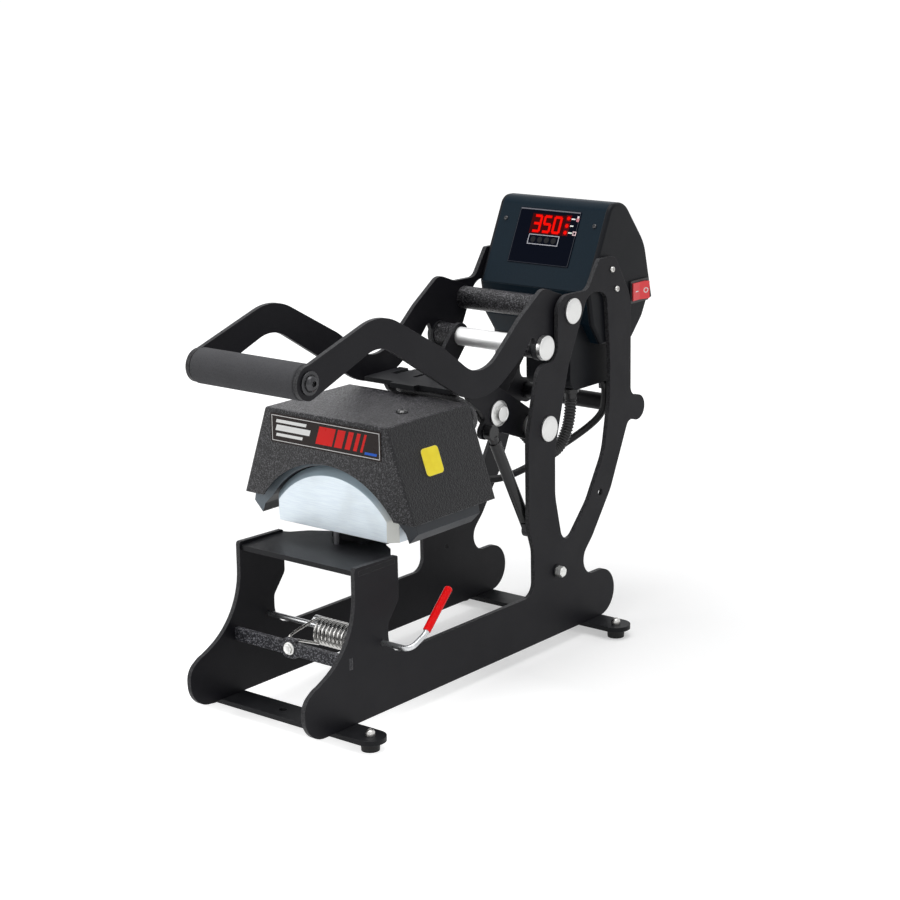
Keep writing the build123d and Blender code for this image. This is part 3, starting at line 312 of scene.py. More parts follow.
def wear(piece, made):
    """Gives every slot of a piece the material."""
    if not piece.material_slots:
        piece.data.materials.append(made)
    for slot in piece.material_slots:
        slot.material = made


# Soft smears and dust: a slow change of shine over the whole surface, and a pale film on top.
tree, takes, gives = effect("handling smears", {"Size": 60.0, "Amount": 0.1, "Dust": 0.3},
    ("Shine", "Film"))
spot = object_spot(tree)
cloud = add_node(tree, "TexNoise", {"Vector": spot, "Scale": takes["Size"], "Detail": 5, "Roughness": 0.6})
shine = calc(tree, "MULTIPLY", calc(tree, "SUBTRACT", cloud.outputs["Fac"], 0.5), takes["Amount"])
tree.links.new(shine, gives["Shine"])
facing = face_axes(tree)
film = calc(tree, "MULTIPLY", ramp(tree, facing["Z"], 0.5, 1.0),
    ramp(tree, cloud.outputs["Fac"], 0.35, 0.75))
tree.links.new(calc(tree, "MULTIPLY", film, takes["Dust"]), gives["Film"])
smears = tree

braid_strands = 8
braid, tree, skin = material("black braided sleeve", (0.02, 0.02, 0.021), 0.5, Specular_IOR_Level=0.4)
run = add_node(tree, "Attribute", attribute_name="run").outputs["Fac"]
turn = add_node(tree, "Attribute", attribute_name="turn").outputs["Fac"]
strands = calc(tree, "MULTIPLY", turn, float(braid_strands))
lean = calc(tree, "MULTIPLY", run, 1.5)
over = calc(tree, "ABSOLUTE", calc(tree, "SINE", calc(tree, "ADD", strands, lean)))
under = calc(tree, "ABSOLUTE", calc(tree, "SINE", calc(tree, "SUBTRACT", strands, lean)))
thread = calc(tree, "MULTIPLY", over, under)
threads = noise(tree, object_spot(tree), 2400, 3)
feed(skin, "Base Color", blend_colour(tree, ramp(tree, calc(tree, "MULTIPLY", thread, threads), 0.1, 0.6),
    (0.008, 0.008, 0.009, 1), (0.16, 0.16, 0.165, 1)))
feed(skin, "Roughness", ramp(tree, threads, 0.3, 0.7, 0.38, 0.62))
lumps = add_node(tree, "Bump", {"Height": threads, "Distance": 0.0002, "Strength": 0.7})
feed(skin, "Normal", lumps.outputs[0])
braided_lead = jacket("heater_lead_braid", braid_route, 48, 0.7, lambda run, turn: 3.1 + 0.5 * abs(
    sin(braid_strands * turn / 2 + 0.8 * run)) * abs(sin(braid_strands * turn / 2 - 0.8 * run)))
wear(braided_lead, braid)
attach(braided_lead, "head")
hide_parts("heater_lead_front")

rib_pitch = 3.2
hose_black, tree, skin = material("ribbed nylon hose", (0.014, 0.014, 0.015), 0.42, Specular_IOR_Level=0.35)
film = place(tree, smears, Size=90.0, Amount=0.25, Dust=0.25)
# The rib valleys are painted darker: painted shade in the valleys.
rib_valley_painted_shade = add_node(tree, "Attribute", attribute_name="run").outputs["Fac"]
rib_valley_painted_shade = ramp(tree, calc(tree, "SINE", calc(tree, "MULTIPLY", rib_valley_painted_shade, 2 * pi / rib_pitch)), -1.0, 0.2)
feed(skin, "Base Color", blend_colour(tree, rib_valley_painted_shade, (0.006, 0.006, 0.006, 1), blend_colour(
    tree, film["Film"], (0.03, 0.03, 0.031, 1), (0.14, 0.14, 0.14, 1))))
feed(skin, "Roughness", calc(tree, "ADD", film["Shine"], 0.42))
ribbed_hose = jacket("heater_lead_hose", hose_route, 32, 0.4, lambda run,
    turn: 5.9 + 0.6 * sin(2 * pi * run / rib_pitch))
wear(ribbed_hose, hose_black)
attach(ribbed_hose, "frame")
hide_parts("heater_lead_rear")

rubber_jacket, tree, skin = material("cable rubber", (0.013, 0.013, 0.014), 0.5, Specular_IOR_Level=0.35)
film = place(tree, smears, Size=70.0, Amount=0.3, Dust=0.3)
feed(skin, "Base Color", blend_colour(tree, film["Film"], (0.013, 0.013, 0.014, 1), (0.1, 0.1, 0.1, 1)))
feed(skin, "Roughness", calc(tree, "ADD", film["Shine"], 0.48))
switch_cable = wire("closing_switch_cable", cable_route, 3.9)
wear(switch_cable, rubber_jacket)
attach(switch_cable, "frame")
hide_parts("switch_cable")

# ---- Side plates, foot bars and the painted steel around them -------------------------------
# Laser-cut 3/16 in steel plates in satin black powder coat. The coat has a fine orange peel,
# and it is thin and rubbed to grey along the cut edges, which also get a painted highlight.
# Pale rims along a piece's edges, found with a bevel: partly rubbed wear, partly a painted highlight.
tree, takes, gives = effect("rubbed edges, painted highlight", {"Round": 0.0006, "Wear": 1.0}, ("Edge", "Normal"))
rounding = add_node(tree, "Bevel", {"Radius": takes["Round"]}, samples=6)
true_face = add_node(tree, "NewGeometry").outputs["Normal"]
turned = add_node(tree, "VectorMath", {0: rounding.outputs[0], 1: true_face}, operation="DOT_PRODUCT")
rim = ramp(tree, calc(tree, "SUBTRACT", 1.0, turned.outputs["Value"]), 0.01, 0.22)
nibble = noise(tree, object_spot(tree), 170, 4)
tree.links.new(calc(tree, "MULTIPLY", calc(tree, "MULTIPLY", rim, ramp(tree, nibble, 0.3, 0.62)),
    takes["Wear"], True),
    gives["Edge"])
tree.links.new(rounding.outputs[0], gives["Normal"])
rubbed_and_highlit_edges = tree

tree, takes, gives = effect("orange peel", {"Size": 1500.0, "Depth": 0.3, "Normal": (0.0, 0.0, 0.0)},
    ("Normal", "Fleck"))
spot = object_spot(tree)
peel = add_node(tree, "TexNoise", {"Vector": spot, "Scale": takes["Size"], "Detail": 2, "Roughness": 0.5})
dimple = add_node(tree, "Bump", {"Height": peel.outputs["Fac"], "Strength": takes["Depth"],
    "Distance": 0.0002, "Normal": takes["Normal"]})
tree.links.new(dimple.outputs[0], gives["Normal"])
tree.links.new(ramp(tree, peel.outputs["Fac"], 0.58, 0.72), gives["Fleck"])
orange_peel = tree


def powder_coat(name, colour, edge_wear_highlight_colour, roughness, peel_depth=0.35, edge_wear_and_highlight=0.8, dust=0.2,
        sheen_level=0.14,
        cut_face_painted_light=None):
    """Satin powder coat on cut steel plate; the last argument gives the plate's cut faces a speckled pale
    tone, painted light for the light they catch.
    """
    made, tree, skin = material(name, colour, roughness, Specular_IOR_Level=sheen_level)
    edge = place(tree, rubbed_and_highlit_edges, Round=0.0007, Wear=edge_wear_and_highlight)
    film = place(tree, smears, Size=26.0, Amount=0.22, Dust=dust)
    coat = place(tree, orange_peel, Size=1500.0, Depth=peel_depth, Normal=edge["Normal"])
    paint = blend_colour(tree, coat["Fleck"], (*colour, 1), (*[1.7 * c for c in colour], 1))
    if cut_face_painted_light:
        # The cut faces get a paler speckled tone: painted light, for the light they catch.
        facing = face_axes(tree)
        cut_face = ramp(tree, calc(tree, "ABSOLUTE", facing["X"]), 0.75, 0.35)
        specks = noise(tree, object_spot(tree), 700, 3)
        cut_face_painted_tone = blend_colour(tree, ramp(tree, specks, 0.4, 0.62), (*[0.45 * c for c in cut_face_painted_light], 1),
            (*cut_face_painted_light, 1))
        paint = blend_colour(tree, cut_face, paint, cut_face_painted_tone)
    paint = blend_colour(tree, film["Film"], paint, (0.05, 0.05, 0.053, 1))
    feed(skin, "Base Color", blend_colour(tree, edge["Edge"], paint, (*edge_wear_highlight_colour, 1)))
    feed(skin, "Roughness", calc(tree, "ADD", film["Shine"], roughness))
    feed(skin, "Normal", coat["Normal"])
    return made


flat_black = powder_coat("satin black steel", (0.008, 0.0083, 0.0098), (0.08, 0.08, 0.085), 0.46)
for name in ("foot_bars", "platform_plate", "form_stand", "gas_spring_brackets", "base_washers",
        "rear_tie_tube",
        "arm_top_plate", "platen_hanger"):
    wear(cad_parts[name], flat_black)
plate_black = powder_coat("satin black plate", (0.0068, 0.0066, 0.0088), (0.075, 0.075, 0.08), 0.46,
    cut_face_painted_light=(0.045, 0.045, 0.048))
for name in ("side_plate_left", "side_plate_right", "handle_plates", "link_plates", "arm_cheeks"):
    wear(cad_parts[name], plate_black)

# ---- Feet --------------------------------------------------------------------------------
# Moulded rubber feet under the four ends of the foot bars, each held by a stainless button
# screw with a hex socket, which goes down through the bar.
foot_rubber, tree, skin = material("foot rubber", (0.016, 0.016, 0.016), 0.62, Specular_IOR_Level=0.3)
film = place(tree, smears, Size=110.0, Amount=0.2, Dust=0.5)
grit = place(tree, orange_peel, Size=1900.0, Depth=0.5)
feed(skin, "Base Color", blend_colour(tree, film["Film"], (0.016, 0.016, 0.016, 1), (0.14, 0.135, 0.13, 1)))
feed(skin, "Roughness", calc(tree, "ADD", film["Shine"], 0.62))
feed(skin, "Normal", grit["Normal"])


def turned_piece(name, profiles, spots, axis, around=48):
    """Pieces turned about an axis: each profile is (radius, height, six-sided) rows in mm, once per spot."""
    mesh = bpy.data.meshes.new(name)
    build = bmesh.new()
    axis = Vector(axis)
    side = axis.orthogonal().normalized()
    other = axis.cross(side)
    for spot in spots:
        for profile in profiles:
            rings = []
            for radius, height, six_sided in profile:
                ring = []
                for spoke in range(around):
                    turn = 2 * pi * spoke / around
                    reach = radius
                    if six_sided:
                        reach = radius / cos((turn + pi / 6) % (pi / 3) - pi / 6)
                    offset = (cos(turn) * side + sin(turn) * other) * reach + axis * height
                    ring.append(build.verts.new((Vector(spot) + offset) * mm))
                rings.append(ring)
            for low, high in zip(rings, rings[1:]):
                for spoke in range(around):
                    beside = (spoke + 1) % around
                    build.faces.new((low[spoke], low[beside], high[beside], high[spoke]))
            build.faces.new(list(reversed(rings[0])))
            build.faces.new(rings[-1])
    build.to_mesh(mesh)
    build.free()
    mesh.shade_smooth()
    mesh.set_sharp_from_angle(angle=radians(32))
    piece = bpy.data.objects.new(name, mesh)
    bpy.context.scene.collection.objects.link(piece)
    return piece


def bright_metal(name, colour, roughness, line_size=(900, 900, 900), line_depth=0.25, stain=0.25):
    """Bare or plated steel with fine tool lines, smears, and worn edges with a painted highlight."""
    made, tree, skin = material(name, colour, roughness, 1.0)
    film = place(tree, smears, Size=140.0, Amount=0.25, Dust=0.0)
    edge = place(tree, rubbed_and_highlit_edges, Round=0.00035, Wear=0.7)
    stretch = add_node(tree, "Mapping", {"Scale": line_size,
        "Vector": object_spot(tree)})
    lines = noise(tree, stretch.outputs[0], 1.0, 4)
    tone = blend_colour(tree, ramp(tree, lines, 0.3, 0.7, 0.0, stain), (*colour, 1),
        (*[0.6 * c for c in colour], 1))
    feed(skin, "Base Color", blend_colour(tree, edge["Edge"], tone,
        (*[min(1, 1.15 * c) for c in colour], 1)))
    feed(skin, "Roughness", calc(tree, "ADD", film["Shine"],
        ramp(tree, lines, 0.25, 0.75, roughness - 0.06, roughness + 0.1)))
    cuts = add_node(tree, "Bump", {"Height": lines, "Strength": line_depth, "Distance": 0.00012,
        "Normal": edge["Normal"]})
    feed(skin, "Normal", cuts.outputs[0])
    return made


wear(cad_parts["rubber_feet"], foot_rubber)
foot_spots = [(x, y, 13.8) for x in (-104.8, 104.8) for y in (-225.85, 165.75)]
foot_screw_profile = [(3.0, -9.8, 0), (3.0, 0, 0), (4.4, 0, 0), (4.6, 0.25, 0), (4.6, 2.8, 0),
    (4.4, 3.9, 0),
    (3.7, 5.0, 0), (2.9, 5.7, 0), (2.0, 6.0, 0), (1.7, 6.0, 1), (1.6, 5.8, 1), (1.6, 3.4, 1)]
stainless = bright_metal("stainless screw", (0.62, 0.61, 0.59), 0.28)
foot_screws = turned_piece("foot_button_screws", [foot_screw_profile], foot_spots, (0, 0, 1))
wear(foot_screws, stainless)
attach(foot_screws, "frame")
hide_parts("foot_screws")

# ---- Platform and lower form ----------------------------------------------------------------
# The curved form is a milled block of pale anodised aluminium with a broad bevel round its
# front, on a painted stand and a small locating pin over the platform plate.
form_silver, tree, skin = material("milled anodised aluminium", (0.74, 0.82, 0.9), 0.4, 0.3)
spot = object_spot(tree)
stretch = add_node(tree, "Mapping", {"Vector": spot, "Scale": (60, 60, 1700)})
passes = noise(tree, stretch.outputs[0], 1.0, 4)
cloud = noise(tree, spot, 30, 5)
edge = place(tree, rubbed_and_highlit_edges, Round=0.0008, Wear=0.9)
tone = blend_colour(tree, ramp(tree, passes, 0.3, 0.7), (0.76, 0.85, 0.93, 1), (0.86, 0.95, 1.0, 1))
tone = blend_colour(tree, ramp(tree, cloud, 0.45, 0.75, 0.0, 0.35), tone, (0.63, 0.69, 0.72, 1))
# The front bevel is painted a darker blue-grey, greyer where it faces right: painted shade by facing.
facing = face_axes(tree)
bevel = calc(tree, "MULTIPLY", ramp(tree, facing["Y"], -0.95, -0.85), ramp(tree, facing["Y"], -0.4, -0.6))
bevel_painted_shade = blend_colour(tree, ramp(tree, facing["X"], 0.35, 0.62), (0.5, 0.62, 0.7, 1),
    (0.6, 0.61, 0.58, 1))
tone = blend_colour(tree, bevel, tone, bevel_painted_shade)
feed(skin, "Base Color", blend_colour(tree, edge["Edge"], tone, (0.9, 0.93, 0.95, 1)))
feed(skin, "Roughness", ramp(tree, cloud, 0.3, 0.7, 0.3, 0.44))
cuts = add_node(tree, "Bump", {"Height": passes, "Strength": 0.22, "Distance": 0.0001,
    "Normal": edge["Normal"]})
feed(skin, "Normal", cuts.outputs[0])
wear(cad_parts["lower_form"], form_silver)

machined = bright_metal("machined steel", (0.66, 0.65, 0.63), 0.26)
dull_steel = bright_metal("dull pin steel", (0.16, 0.16, 0.17), 0.4)
wear(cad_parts["locating_pin"], dull_steel)

# ---- Crossbar, bolts and washers --------------------------------------------------------------
# The front crossbar is in coarse black wrinkle coat. A small zinc bolt holds its middle, and
# one hexagon bolt sits over a dark washer low on each side plate.
tree, takes, gives = effect("wrinkle coat", {"Size": 620.0, "Depth": 0.8, "Normal": (0.0, 0.0, 0.0)},
    ("Normal", "Peak"))
spot = object_spot(tree)
folds = add_node(tree, "TexNoise", {"Vector": spot, "Scale": takes["Size"], "Detail": 3, "Roughness": 0.55,
    "Distortion": 0.6})
beads = add_node(tree, "TexVoronoi", {"Vector": spot, "Scale": takes["Size"]}, feature="SMOOTH_F1")
relief = calc(tree, "SUBTRACT", calc(tree, "MULTIPLY", folds.outputs["Fac"], 1.3),
    beads.outputs["Distance"])
bumps = add_node(tree, "Bump", {"Height": relief, "Strength": takes["Depth"], "Distance": 0.0009,
    "Normal": takes["Normal"]})
tree.links.new(bumps.outputs[0], gives["Normal"])
grit = add_node(tree, "TexVoronoi", {"Vector": spot, "Scale": calc(tree, "MULTIPLY", takes["Size"], 1.6)})
grit_tone = add_node(tree, "SeparateColor", {0: grit.outputs["Color"]}).outputs[0]
# The pale specks on the peaks are painted highlights; side faces lose nearly all, front faces some: painted
# shade by facing.
facing = face_axes(tree)
facing_peak_shade = calc(tree, "MULTIPLY", ramp(tree, calc(tree, "ABSOLUTE", facing["X"]), 0.6, 0.85, 1.0, 0.06),
    ramp(tree, facing["Y"], -0.6, -0.9, 1.0, 0.62))
tree.links.new(calc(tree, "MULTIPLY", ramp(tree, grit_tone, 0.62, 0.92), facing_peak_shade), gives["Peak"])
wrinkles = tree


def wrinkle_coat(name, colour, peak_colour, roughness=0.32, grain=620.0, depth=0.85):
    """Coarse black wrinkle paint, with light caught on its peaks."""
    made, tree, skin = material(name, colour, roughness, Specular_IOR_Level=0.28)
    edge = place(tree, rubbed_and_highlit_edges, Round=0.0012, Wear=0.8)
    film = place(tree, smears, Size=22.0, Amount=0.16, Dust=0.25)
    coat = place(tree, wrinkles, Size=grain, Depth=depth, Normal=edge["Normal"])
    paint = blend_colour(tree, coat["Peak"], (*colour, 1), (*peak_colour, 1))
    paint = blend_colour(tree, film["Film"], paint, (0.085, 0.08, 0.088, 1))
    feed(skin, "Base Color", blend_colour(tree, edge["Edge"], paint, (0.2, 0.2, 0.205, 1)))
    feed(skin, "Roughness", calc(tree, "ADD", film["Shine"], roughness))
    feed(skin, "Normal", coat["Normal"])
    return made


wrinkle_black = wrinkle_coat("black wrinkle coat", (0.0045, 0.0045, 0.0058), (0.125, 0.122, 0.132))
for name in ("pivot_tube", "link_bushes", "head_cover"):
    wear(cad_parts[name], wrinkle_black)
bar_black = wrinkle_coat("crossbar wrinkle coat", (0.009, 0.0095, 0.013), (0.3, 0.3, 0.33), 0.34, 560.0)
wear(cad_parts["front_crossbar"], bar_black)



def spot_axes(tree):
    """The X, Y and Z of a point in the piece's own frame."""
    return add_node(tree, "SeparateXYZ", {0: object_spot(tree)}).outputs


zinc = bright_metal("zinc plate", (0.6, 0.61, 0.62), 0.32, stain=0.4)
bolt_profile = [(5.0, 0, 1), (5.0, 6.1, 1), (4.95, 6.5, 1), (4.8, 6.85, 0), (4.5, 7.0, 0), (4.3, 6.9, 0)]
base_bolts = turned_piece("base_bolts", [
    [(3.0, -6.2, 0), (3.0, -0.1, 0)], bolt_profile], [(77.5, 101.6, 83.1)], (1, 0, 0))
far_bolts = turned_piece("base_bolts_left", [
    [(3.0, -6.2, 0), (3.0, -0.1, 0)], bolt_profile], [(-77.5, 101.6, 83.1)], (-1, 0, 0))
bar_bolt = turned_piece("crossbar_bolt", [
    [(3.0, -9.0, 0), (3.0, -0.1, 0)],
    [(6.2, -0.01, 0), (6.2, 0.7, 0), (5.9, 0.8, 0)],
    [(4.5, 0.8, 1), (4.5, 3.2, 1), (4.2, 3.5, 0), (3.9, 3.6, 0), (3.7, 3.5, 0)]], [(0, -219.7, 74.25)],
    (0, -1, 0))
zinc_bolt = bright_metal("zinc bolt", (0.82, 0.82, 0.8), 0.46, stain=0.3)
zinc_painted_shank_shade = bright_metal("zinc bolt with painted shade on its shank end", (0.82, 0.82, 0.8), 0.46, stain=0.3)
tree = zinc_painted_shank_shade.node_tree
skin = tree.nodes["Principled BSDF"]
# The shank end inside the left plate is painted near black: painted shade, standing in for a dark hole.
across = spot_axes(tree)["X"]
feed(skin, "Base Color", blend_colour(tree, ramp(tree, across, -0.0745, -0.0735),
    skin.inputs["Base Color"].links[0].from_socket,
    (0.012, 0.012, 0.013, 1)))
wear(far_bolts, zinc_painted_shank_shade)
for piece in (base_bolts, bar_bolt):
    wear(piece, zinc_bolt)
for piece in (base_bolts, far_bolts, bar_bolt):
    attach(piece, "frame")
    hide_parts("hex_bolts")

# ---- Pivot pins -----------------------------------------------------------------------------
# Turned steel pins with broad flat heads. Each head has a fine turned face, a shallow ring and
# a broken edge. The upper pin carries the handle, the lower pair the head's arm.
tree, takes, gives = effect("lathe rings",
    {"Centre": (0.0, 0.0, 0.0), "Depth": 0.4, "Normal": (0.0, 0.0, 0.0)},
    ("Normal", "Ring"))
offset = add_node(tree, "VectorMath", {0: object_spot(tree),
    1: takes["Centre"]}, operation="SUBTRACT").outputs[0]
flat = add_node(tree, "VectorMath", {0: offset, 1: (0, 1, 1)}, operation="MULTIPLY").outputs[0]
reach = add_node(tree, "VectorMath", {0: flat}, operation="LENGTH").outputs["Value"]
rings = add_node(tree, "TexNoise", {"W": calc(tree, "MULTIPLY", reach, 2600.0), "Detail": 2},
    noise_dimensions="1D").outputs["Fac"]
turned_face = add_node(tree, "Bump", {"Height": rings, "Strength": takes["Depth"], "Distance": 0.00003,
    "Normal": takes["Normal"]})
tree.links.new(turned_face.outputs[0], gives["Normal"])
tree.links.new(ramp(tree, rings, 0.35, 0.65), gives["Ring"])
lathe_rings = tree


handle_axis = (130.0, 350.5)
arm_axis = (88.0, 236.5)
link_axis = (88.5, 319.0)
head_axis = (34.5, 260.0)
plate_face = 76.0
cheek_face = 54.2
handle_plate_face = 69.8


def pin_steel(name, y, z):
    """Turned steel whose rings run round one pin's axis."""
    made, tree, skin = material(name, (0.76, 0.76, 0.75), 0.3, 1.0)
    film = place(tree, smears, Size=160.0, Amount=0.08, Dust=0.0)
    edge = place(tree, rubbed_and_highlit_edges, Round=0.0004, Wear=0.8)
    cut = place(tree, lathe_rings, Centre=(0, y * mm, z * mm), Depth=0.4, Normal=edge["Normal"])
    tone = blend_colour(tree, cut["Ring"], (0.6, 0.6, 0.59, 1), (0.74, 0.74, 0.73, 1))
    feed(skin, "Base Color", blend_colour(tree, edge["Edge"], tone, (0.9, 0.9, 0.89, 1)))
    feed(skin, "Roughness", calc(tree, "ADD", film["Shine"], 0.32))
    feed(skin, "Normal", cut["Normal"])
    return made


def pin_head(radius, thick):
    """Rows of a flat pin head from its plate side out to its turned face."""
    return [(radius - 0.2, 0, 0), (radius, 0.2, 0), (radius, thick - 1.1, 0),
        (radius - 0.5, thick - 0.75, 0),
        (radius - 1.5, thick - 0.25, 0), (radius * 0.7, thick - 0.15, 0), (radius * 0.69, thick - 0.27, 0),
        (radius * 0.67, thick - 0.27, 0), (radius * 0.66, thick - 0.12, 0), (radius * 0.3, thick, 0),
        (0.5, thick, 0)]


handle_pin_steel = pin_steel("turned steel, handle pin", *handle_axis)
handle_pin_right = turned_piece("handle_pin", [[(8.0, -152.0, 0), (8.0, 0, 0)], pin_head(13.1, 3.2)],
    [(plate_face, *handle_axis)], (1, 0, 0), 64)
handle_pin_left = turned_piece("handle_pin_left_head", [pin_head(13.1, 3.2)],
    [(-plate_face, *handle_axis)], (-1, 0, 0), 64)
for piece in (handle_pin_right, handle_pin_left):
    wear(piece, handle_pin_steel)
    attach(piece, "frame")
    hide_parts("handle_pivot_pin")

arm_pin_steel = pin_steel("turned steel, arm pins", *arm_axis)
for name, place_x, way in (("arm_pin_right", plate_face, 1), ("arm_pin_left", -plate_face, -1)):
    piece = turned_piece(name, [[(6.0, -27.2, 0), (6.0, 0, 0)], pin_head(13.1, 3.2)],
        [(place_x, *arm_axis)],
        (way, 0, 0), 64)
    wear(piece, arm_pin_steel)
    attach(piece, "frame")
    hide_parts("arm_pivot_pins")

# ---- Handle and grip ------------------------------------------------------------------------
# Two bent-looking plates cut from flat steel join at a foam grip on a steel tube, closed at
# each end by a large black button screw. A pin with a bright head carries the toggle link.
foam, tree, skin = material("grip foam", (0.022, 0.022, 0.024), 0.85, Specular_IOR_Level=0.25)
spot = object_spot(tree)
pores = add_node(tree, "TexVoronoi", {"Vector": spot, "Scale": 1300}).outputs["Distance"]
creases = noise(tree, spot, 120, 6)
film = place(tree, smears, Size=45.0, Amount=0.2, Dust=0.35)
tone = blend_colour(tree, ramp(tree, pores, 0.05, 0.45), (0.022, 0.022, 0.024, 1), (0.06, 0.06, 0.064, 1))
feed(skin, "Base Color", blend_colour(tree, film["Film"], tone, (0.09, 0.09, 0.095, 1)))
feed(skin, "Roughness", calc(tree, "ADD", film["Shine"], 0.85))
hollows = add_node(tree, "Bump", {"Height": creases, "Strength": 0.5, "Distance": 0.0008})
pits = add_node(tree, "Bump", {"Height": pores, "Strength": 0.6, "Distance": 0.0003,
    "Normal": hollows.outputs[0]})
feed(skin, "Normal", pits.outputs[0])
wear(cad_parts["grip"], foam)
wear(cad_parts["grip_tube"], machined)

black_oxide, tree, skin = material("black oxide screw", (0.05, 0.05, 0.053), 0.28, 0.75)
film = place(tree, smears, Size=180.0, Amount=0.25, Dust=0.1)
edge = place(tree, rubbed_and_highlit_edges, Round=0.0004, Wear=0.9)
feed(skin, "Base Color", blend_colour(tree, edge["Edge"], (0.05, 0.05, 0.053, 1), (0.3, 0.3, 0.31, 1)))
feed(skin, "Roughness", calc(tree, "ADD", film["Shine"], 0.28))
feed(skin, "Normal", edge["Normal"])
grip_screw_profile = [(5.0, -29.8, 0), (5.0, 0, 0), (10.8, 0, 0), (11.0, 0.2, 0), (11.0, 1.3, 0),
    (10.7, 1.6, 0),
    (8.2, 1.8, 0), (7.9, 1.2, 0), (7.5, 1.2, 0), (7.4, 2.6, 0), (7.1, 3.8, 0), (6.2, 5.0, 0),
    (4.8, 5.9, 0), (3.4, 6.2, 0), (2.75, 6.2, 1), (2.6, 6.0, 1), (2.6, 3.0, 1)]
for name, place_x, way in (("grip_screw_right", handle_plate_face, 1),
        ("grip_screw_left", -handle_plate_face, -1)):
    piece = turned_piece(name, [grip_screw_profile], [(place_x, -253.6, 345.3)], (way, 0, 0))
    wear(piece, black_oxide)
    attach(piece, "handle")
    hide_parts("grip_screws")

link_pin_steel = pin_steel("turned steel, link pin", *link_axis)
link_pin = turned_piece("link_pin_turned", [[(9.4, -140.7, 0), (9.6, -140.5, 0), (9.6, -139.6, 0)],
    [(8.0, -139.6, 0), (8.0, 0, 0)], pin_head(12.6, 6.2)], [(handle_plate_face, *link_axis)], (1, 0, 0), 64)
wear(link_pin, link_pin_steel)
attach(link_pin, "handle")
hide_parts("link_pin")
wear(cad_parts["link_washers"], flat_black)

# ---- Toggle link ----------------------------------------------------------------------------
# Two short black plates with a bright drawn tube between them on the link pin, and a plain
# steel cross shaft at the lower end.
drawn_tube = bright_metal("drawn bright tube", (0.86, 0.86, 0.86), 0.52, (25, 1500, 1500), 0.1, 0.1)
wear(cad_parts["link_spacer_tube"], drawn_tube)
wear(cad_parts["link_cross_shaft"], machined)

# ---- Arm pins and bushes ----------------------------------------------------------------------
# The link's far end sits on two turned pins in the arm's cheeks, and the arm itself turns on
# flanged bushes over the lower pivot pins.
head_pin_steel = pin_steel("turned steel, head pins", *head_axis)
for name, way in (("head_pin_right", 1), ("head_pin_left", -1)):
    piece = turned_piece(name, [[(8.0, -10.2, 0), (8.0, 0, 0)], pin_head(13.1, 2.8),
        [(7.9, 2.8, 0), (7.9, 7.0, 0),
        (7.6, 7.3, 0), (6.6, 7.3, 0), (6.4, 7.0, 0)]], [(way * cheek_face, *head_axis)], (way, 0, 0), 64)
    stud = turned_piece(name + "_spring_stud",
        [[(3.7, -4.8, 0), (4.0, -4.6, 0), (4.0, 1.5, 0), (3.7, 1.8, 0)]],
        [(way * cheek_face, 14.0, 245.0)], (way, 0, 0))
    for made in (piece, stud):
        wear(made, head_pin_steel)
        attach(made, "head")
        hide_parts("head_pins")
wear(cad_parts["arm_pivot_bushes"], arm_pin_steel)

# ---- Heated platen ----------------------------------------------------------------------------
# A cast aluminium shoe, curved over the form, with a dark slate release coat that is worn
# paler at its rims. A flat steel element is pressed on its back under the cover.
slate, tree, skin = material("slate release coat", (0.05, 0.055, 0.065), 0.42, Specular_IOR_Level=0.35)
rim_facing = face_axes(tree)
edge = place(tree, rubbed_and_highlit_edges, Round=0.0011, Wear=1.0)
film = place(tree, smears, Size=40.0, Amount=0.25, Dust=0.25)
coat = place(tree, orange_peel, Size=1100.0, Depth=0.4, Normal=edge["Normal"])
tone = blend_colour(tree, coat["Fleck"], (0.022, 0.022, 0.024, 1), (0.05, 0.05, 0.053, 1))
bare_rim = blend_colour(tree, coat["Fleck"], (0.13, 0.16, 0.185, 1), (0.19, 0.22, 0.25, 1))
tone = blend_colour(tree, ramp(tree, rim_facing["Y"], -0.6, -0.9), tone, bare_rim)
tone = blend_colour(tree, edge["Edge"], tone, (0.3, 0.3, 0.32, 1))
# The shoe's right end, past about 60 mm, is painted darker: painted shade.
right_end_shade_x = spot_axes(tree)["X"]
tone = blend_colour(tree, ramp(tree, right_end_shade_x, 0.058, 0.07), tone, (0.02, 0.024, 0.03, 1))
feed(skin, "Base Color", tone)
feed(skin, "Roughness", calc(tree, "ADD", film["Shine"], 0.42))
feed(skin, "Normal", coat["Normal"])
wear(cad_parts["heat_platen"], slate)
wear(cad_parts["heating_element"], machined)

# ---- Head cover, its screws and its two plates --------------------------------------------------
# A folded sheet cover in wrinkle coat with one dark button screw in its top. Its front has a
# printed plate with a pale border and plain stripes, and its side a plain yellow sticker.
cover_screw_profile = [(2.5, -2.0, 0), (2.5, 0, 0), (5.8, 0, 0), (6.0, 0.2, 0), (6.0, 0.8, 0),
    (5.4, 1.6, 0),
    (4.2, 2.4, 0), (3.2, 2.9, 0), (2.4, 3.1, 0), (1.95, 3.1, 1), (1.85, 2.9, 1), (1.85, 1.6, 1)]
cover_screws = turned_piece("cover_button_screw", [cover_screw_profile], [(48.0, -104.5, 287.0)], (0, 0, 1))
glossy_black, tree, skin = material("glossy black screw", (0.006, 0.006, 0.007), 0.16,
    Specular_IOR_Level=0.9)
film = place(tree, smears, Size=300.0, Amount=0.15, Dust=0.1)
feed(skin, "Roughness", calc(tree, "ADD", film["Shine"], 0.14))
wear(cover_screws, glossy_black)
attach(cover_screws, "head")
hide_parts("cover_screws")

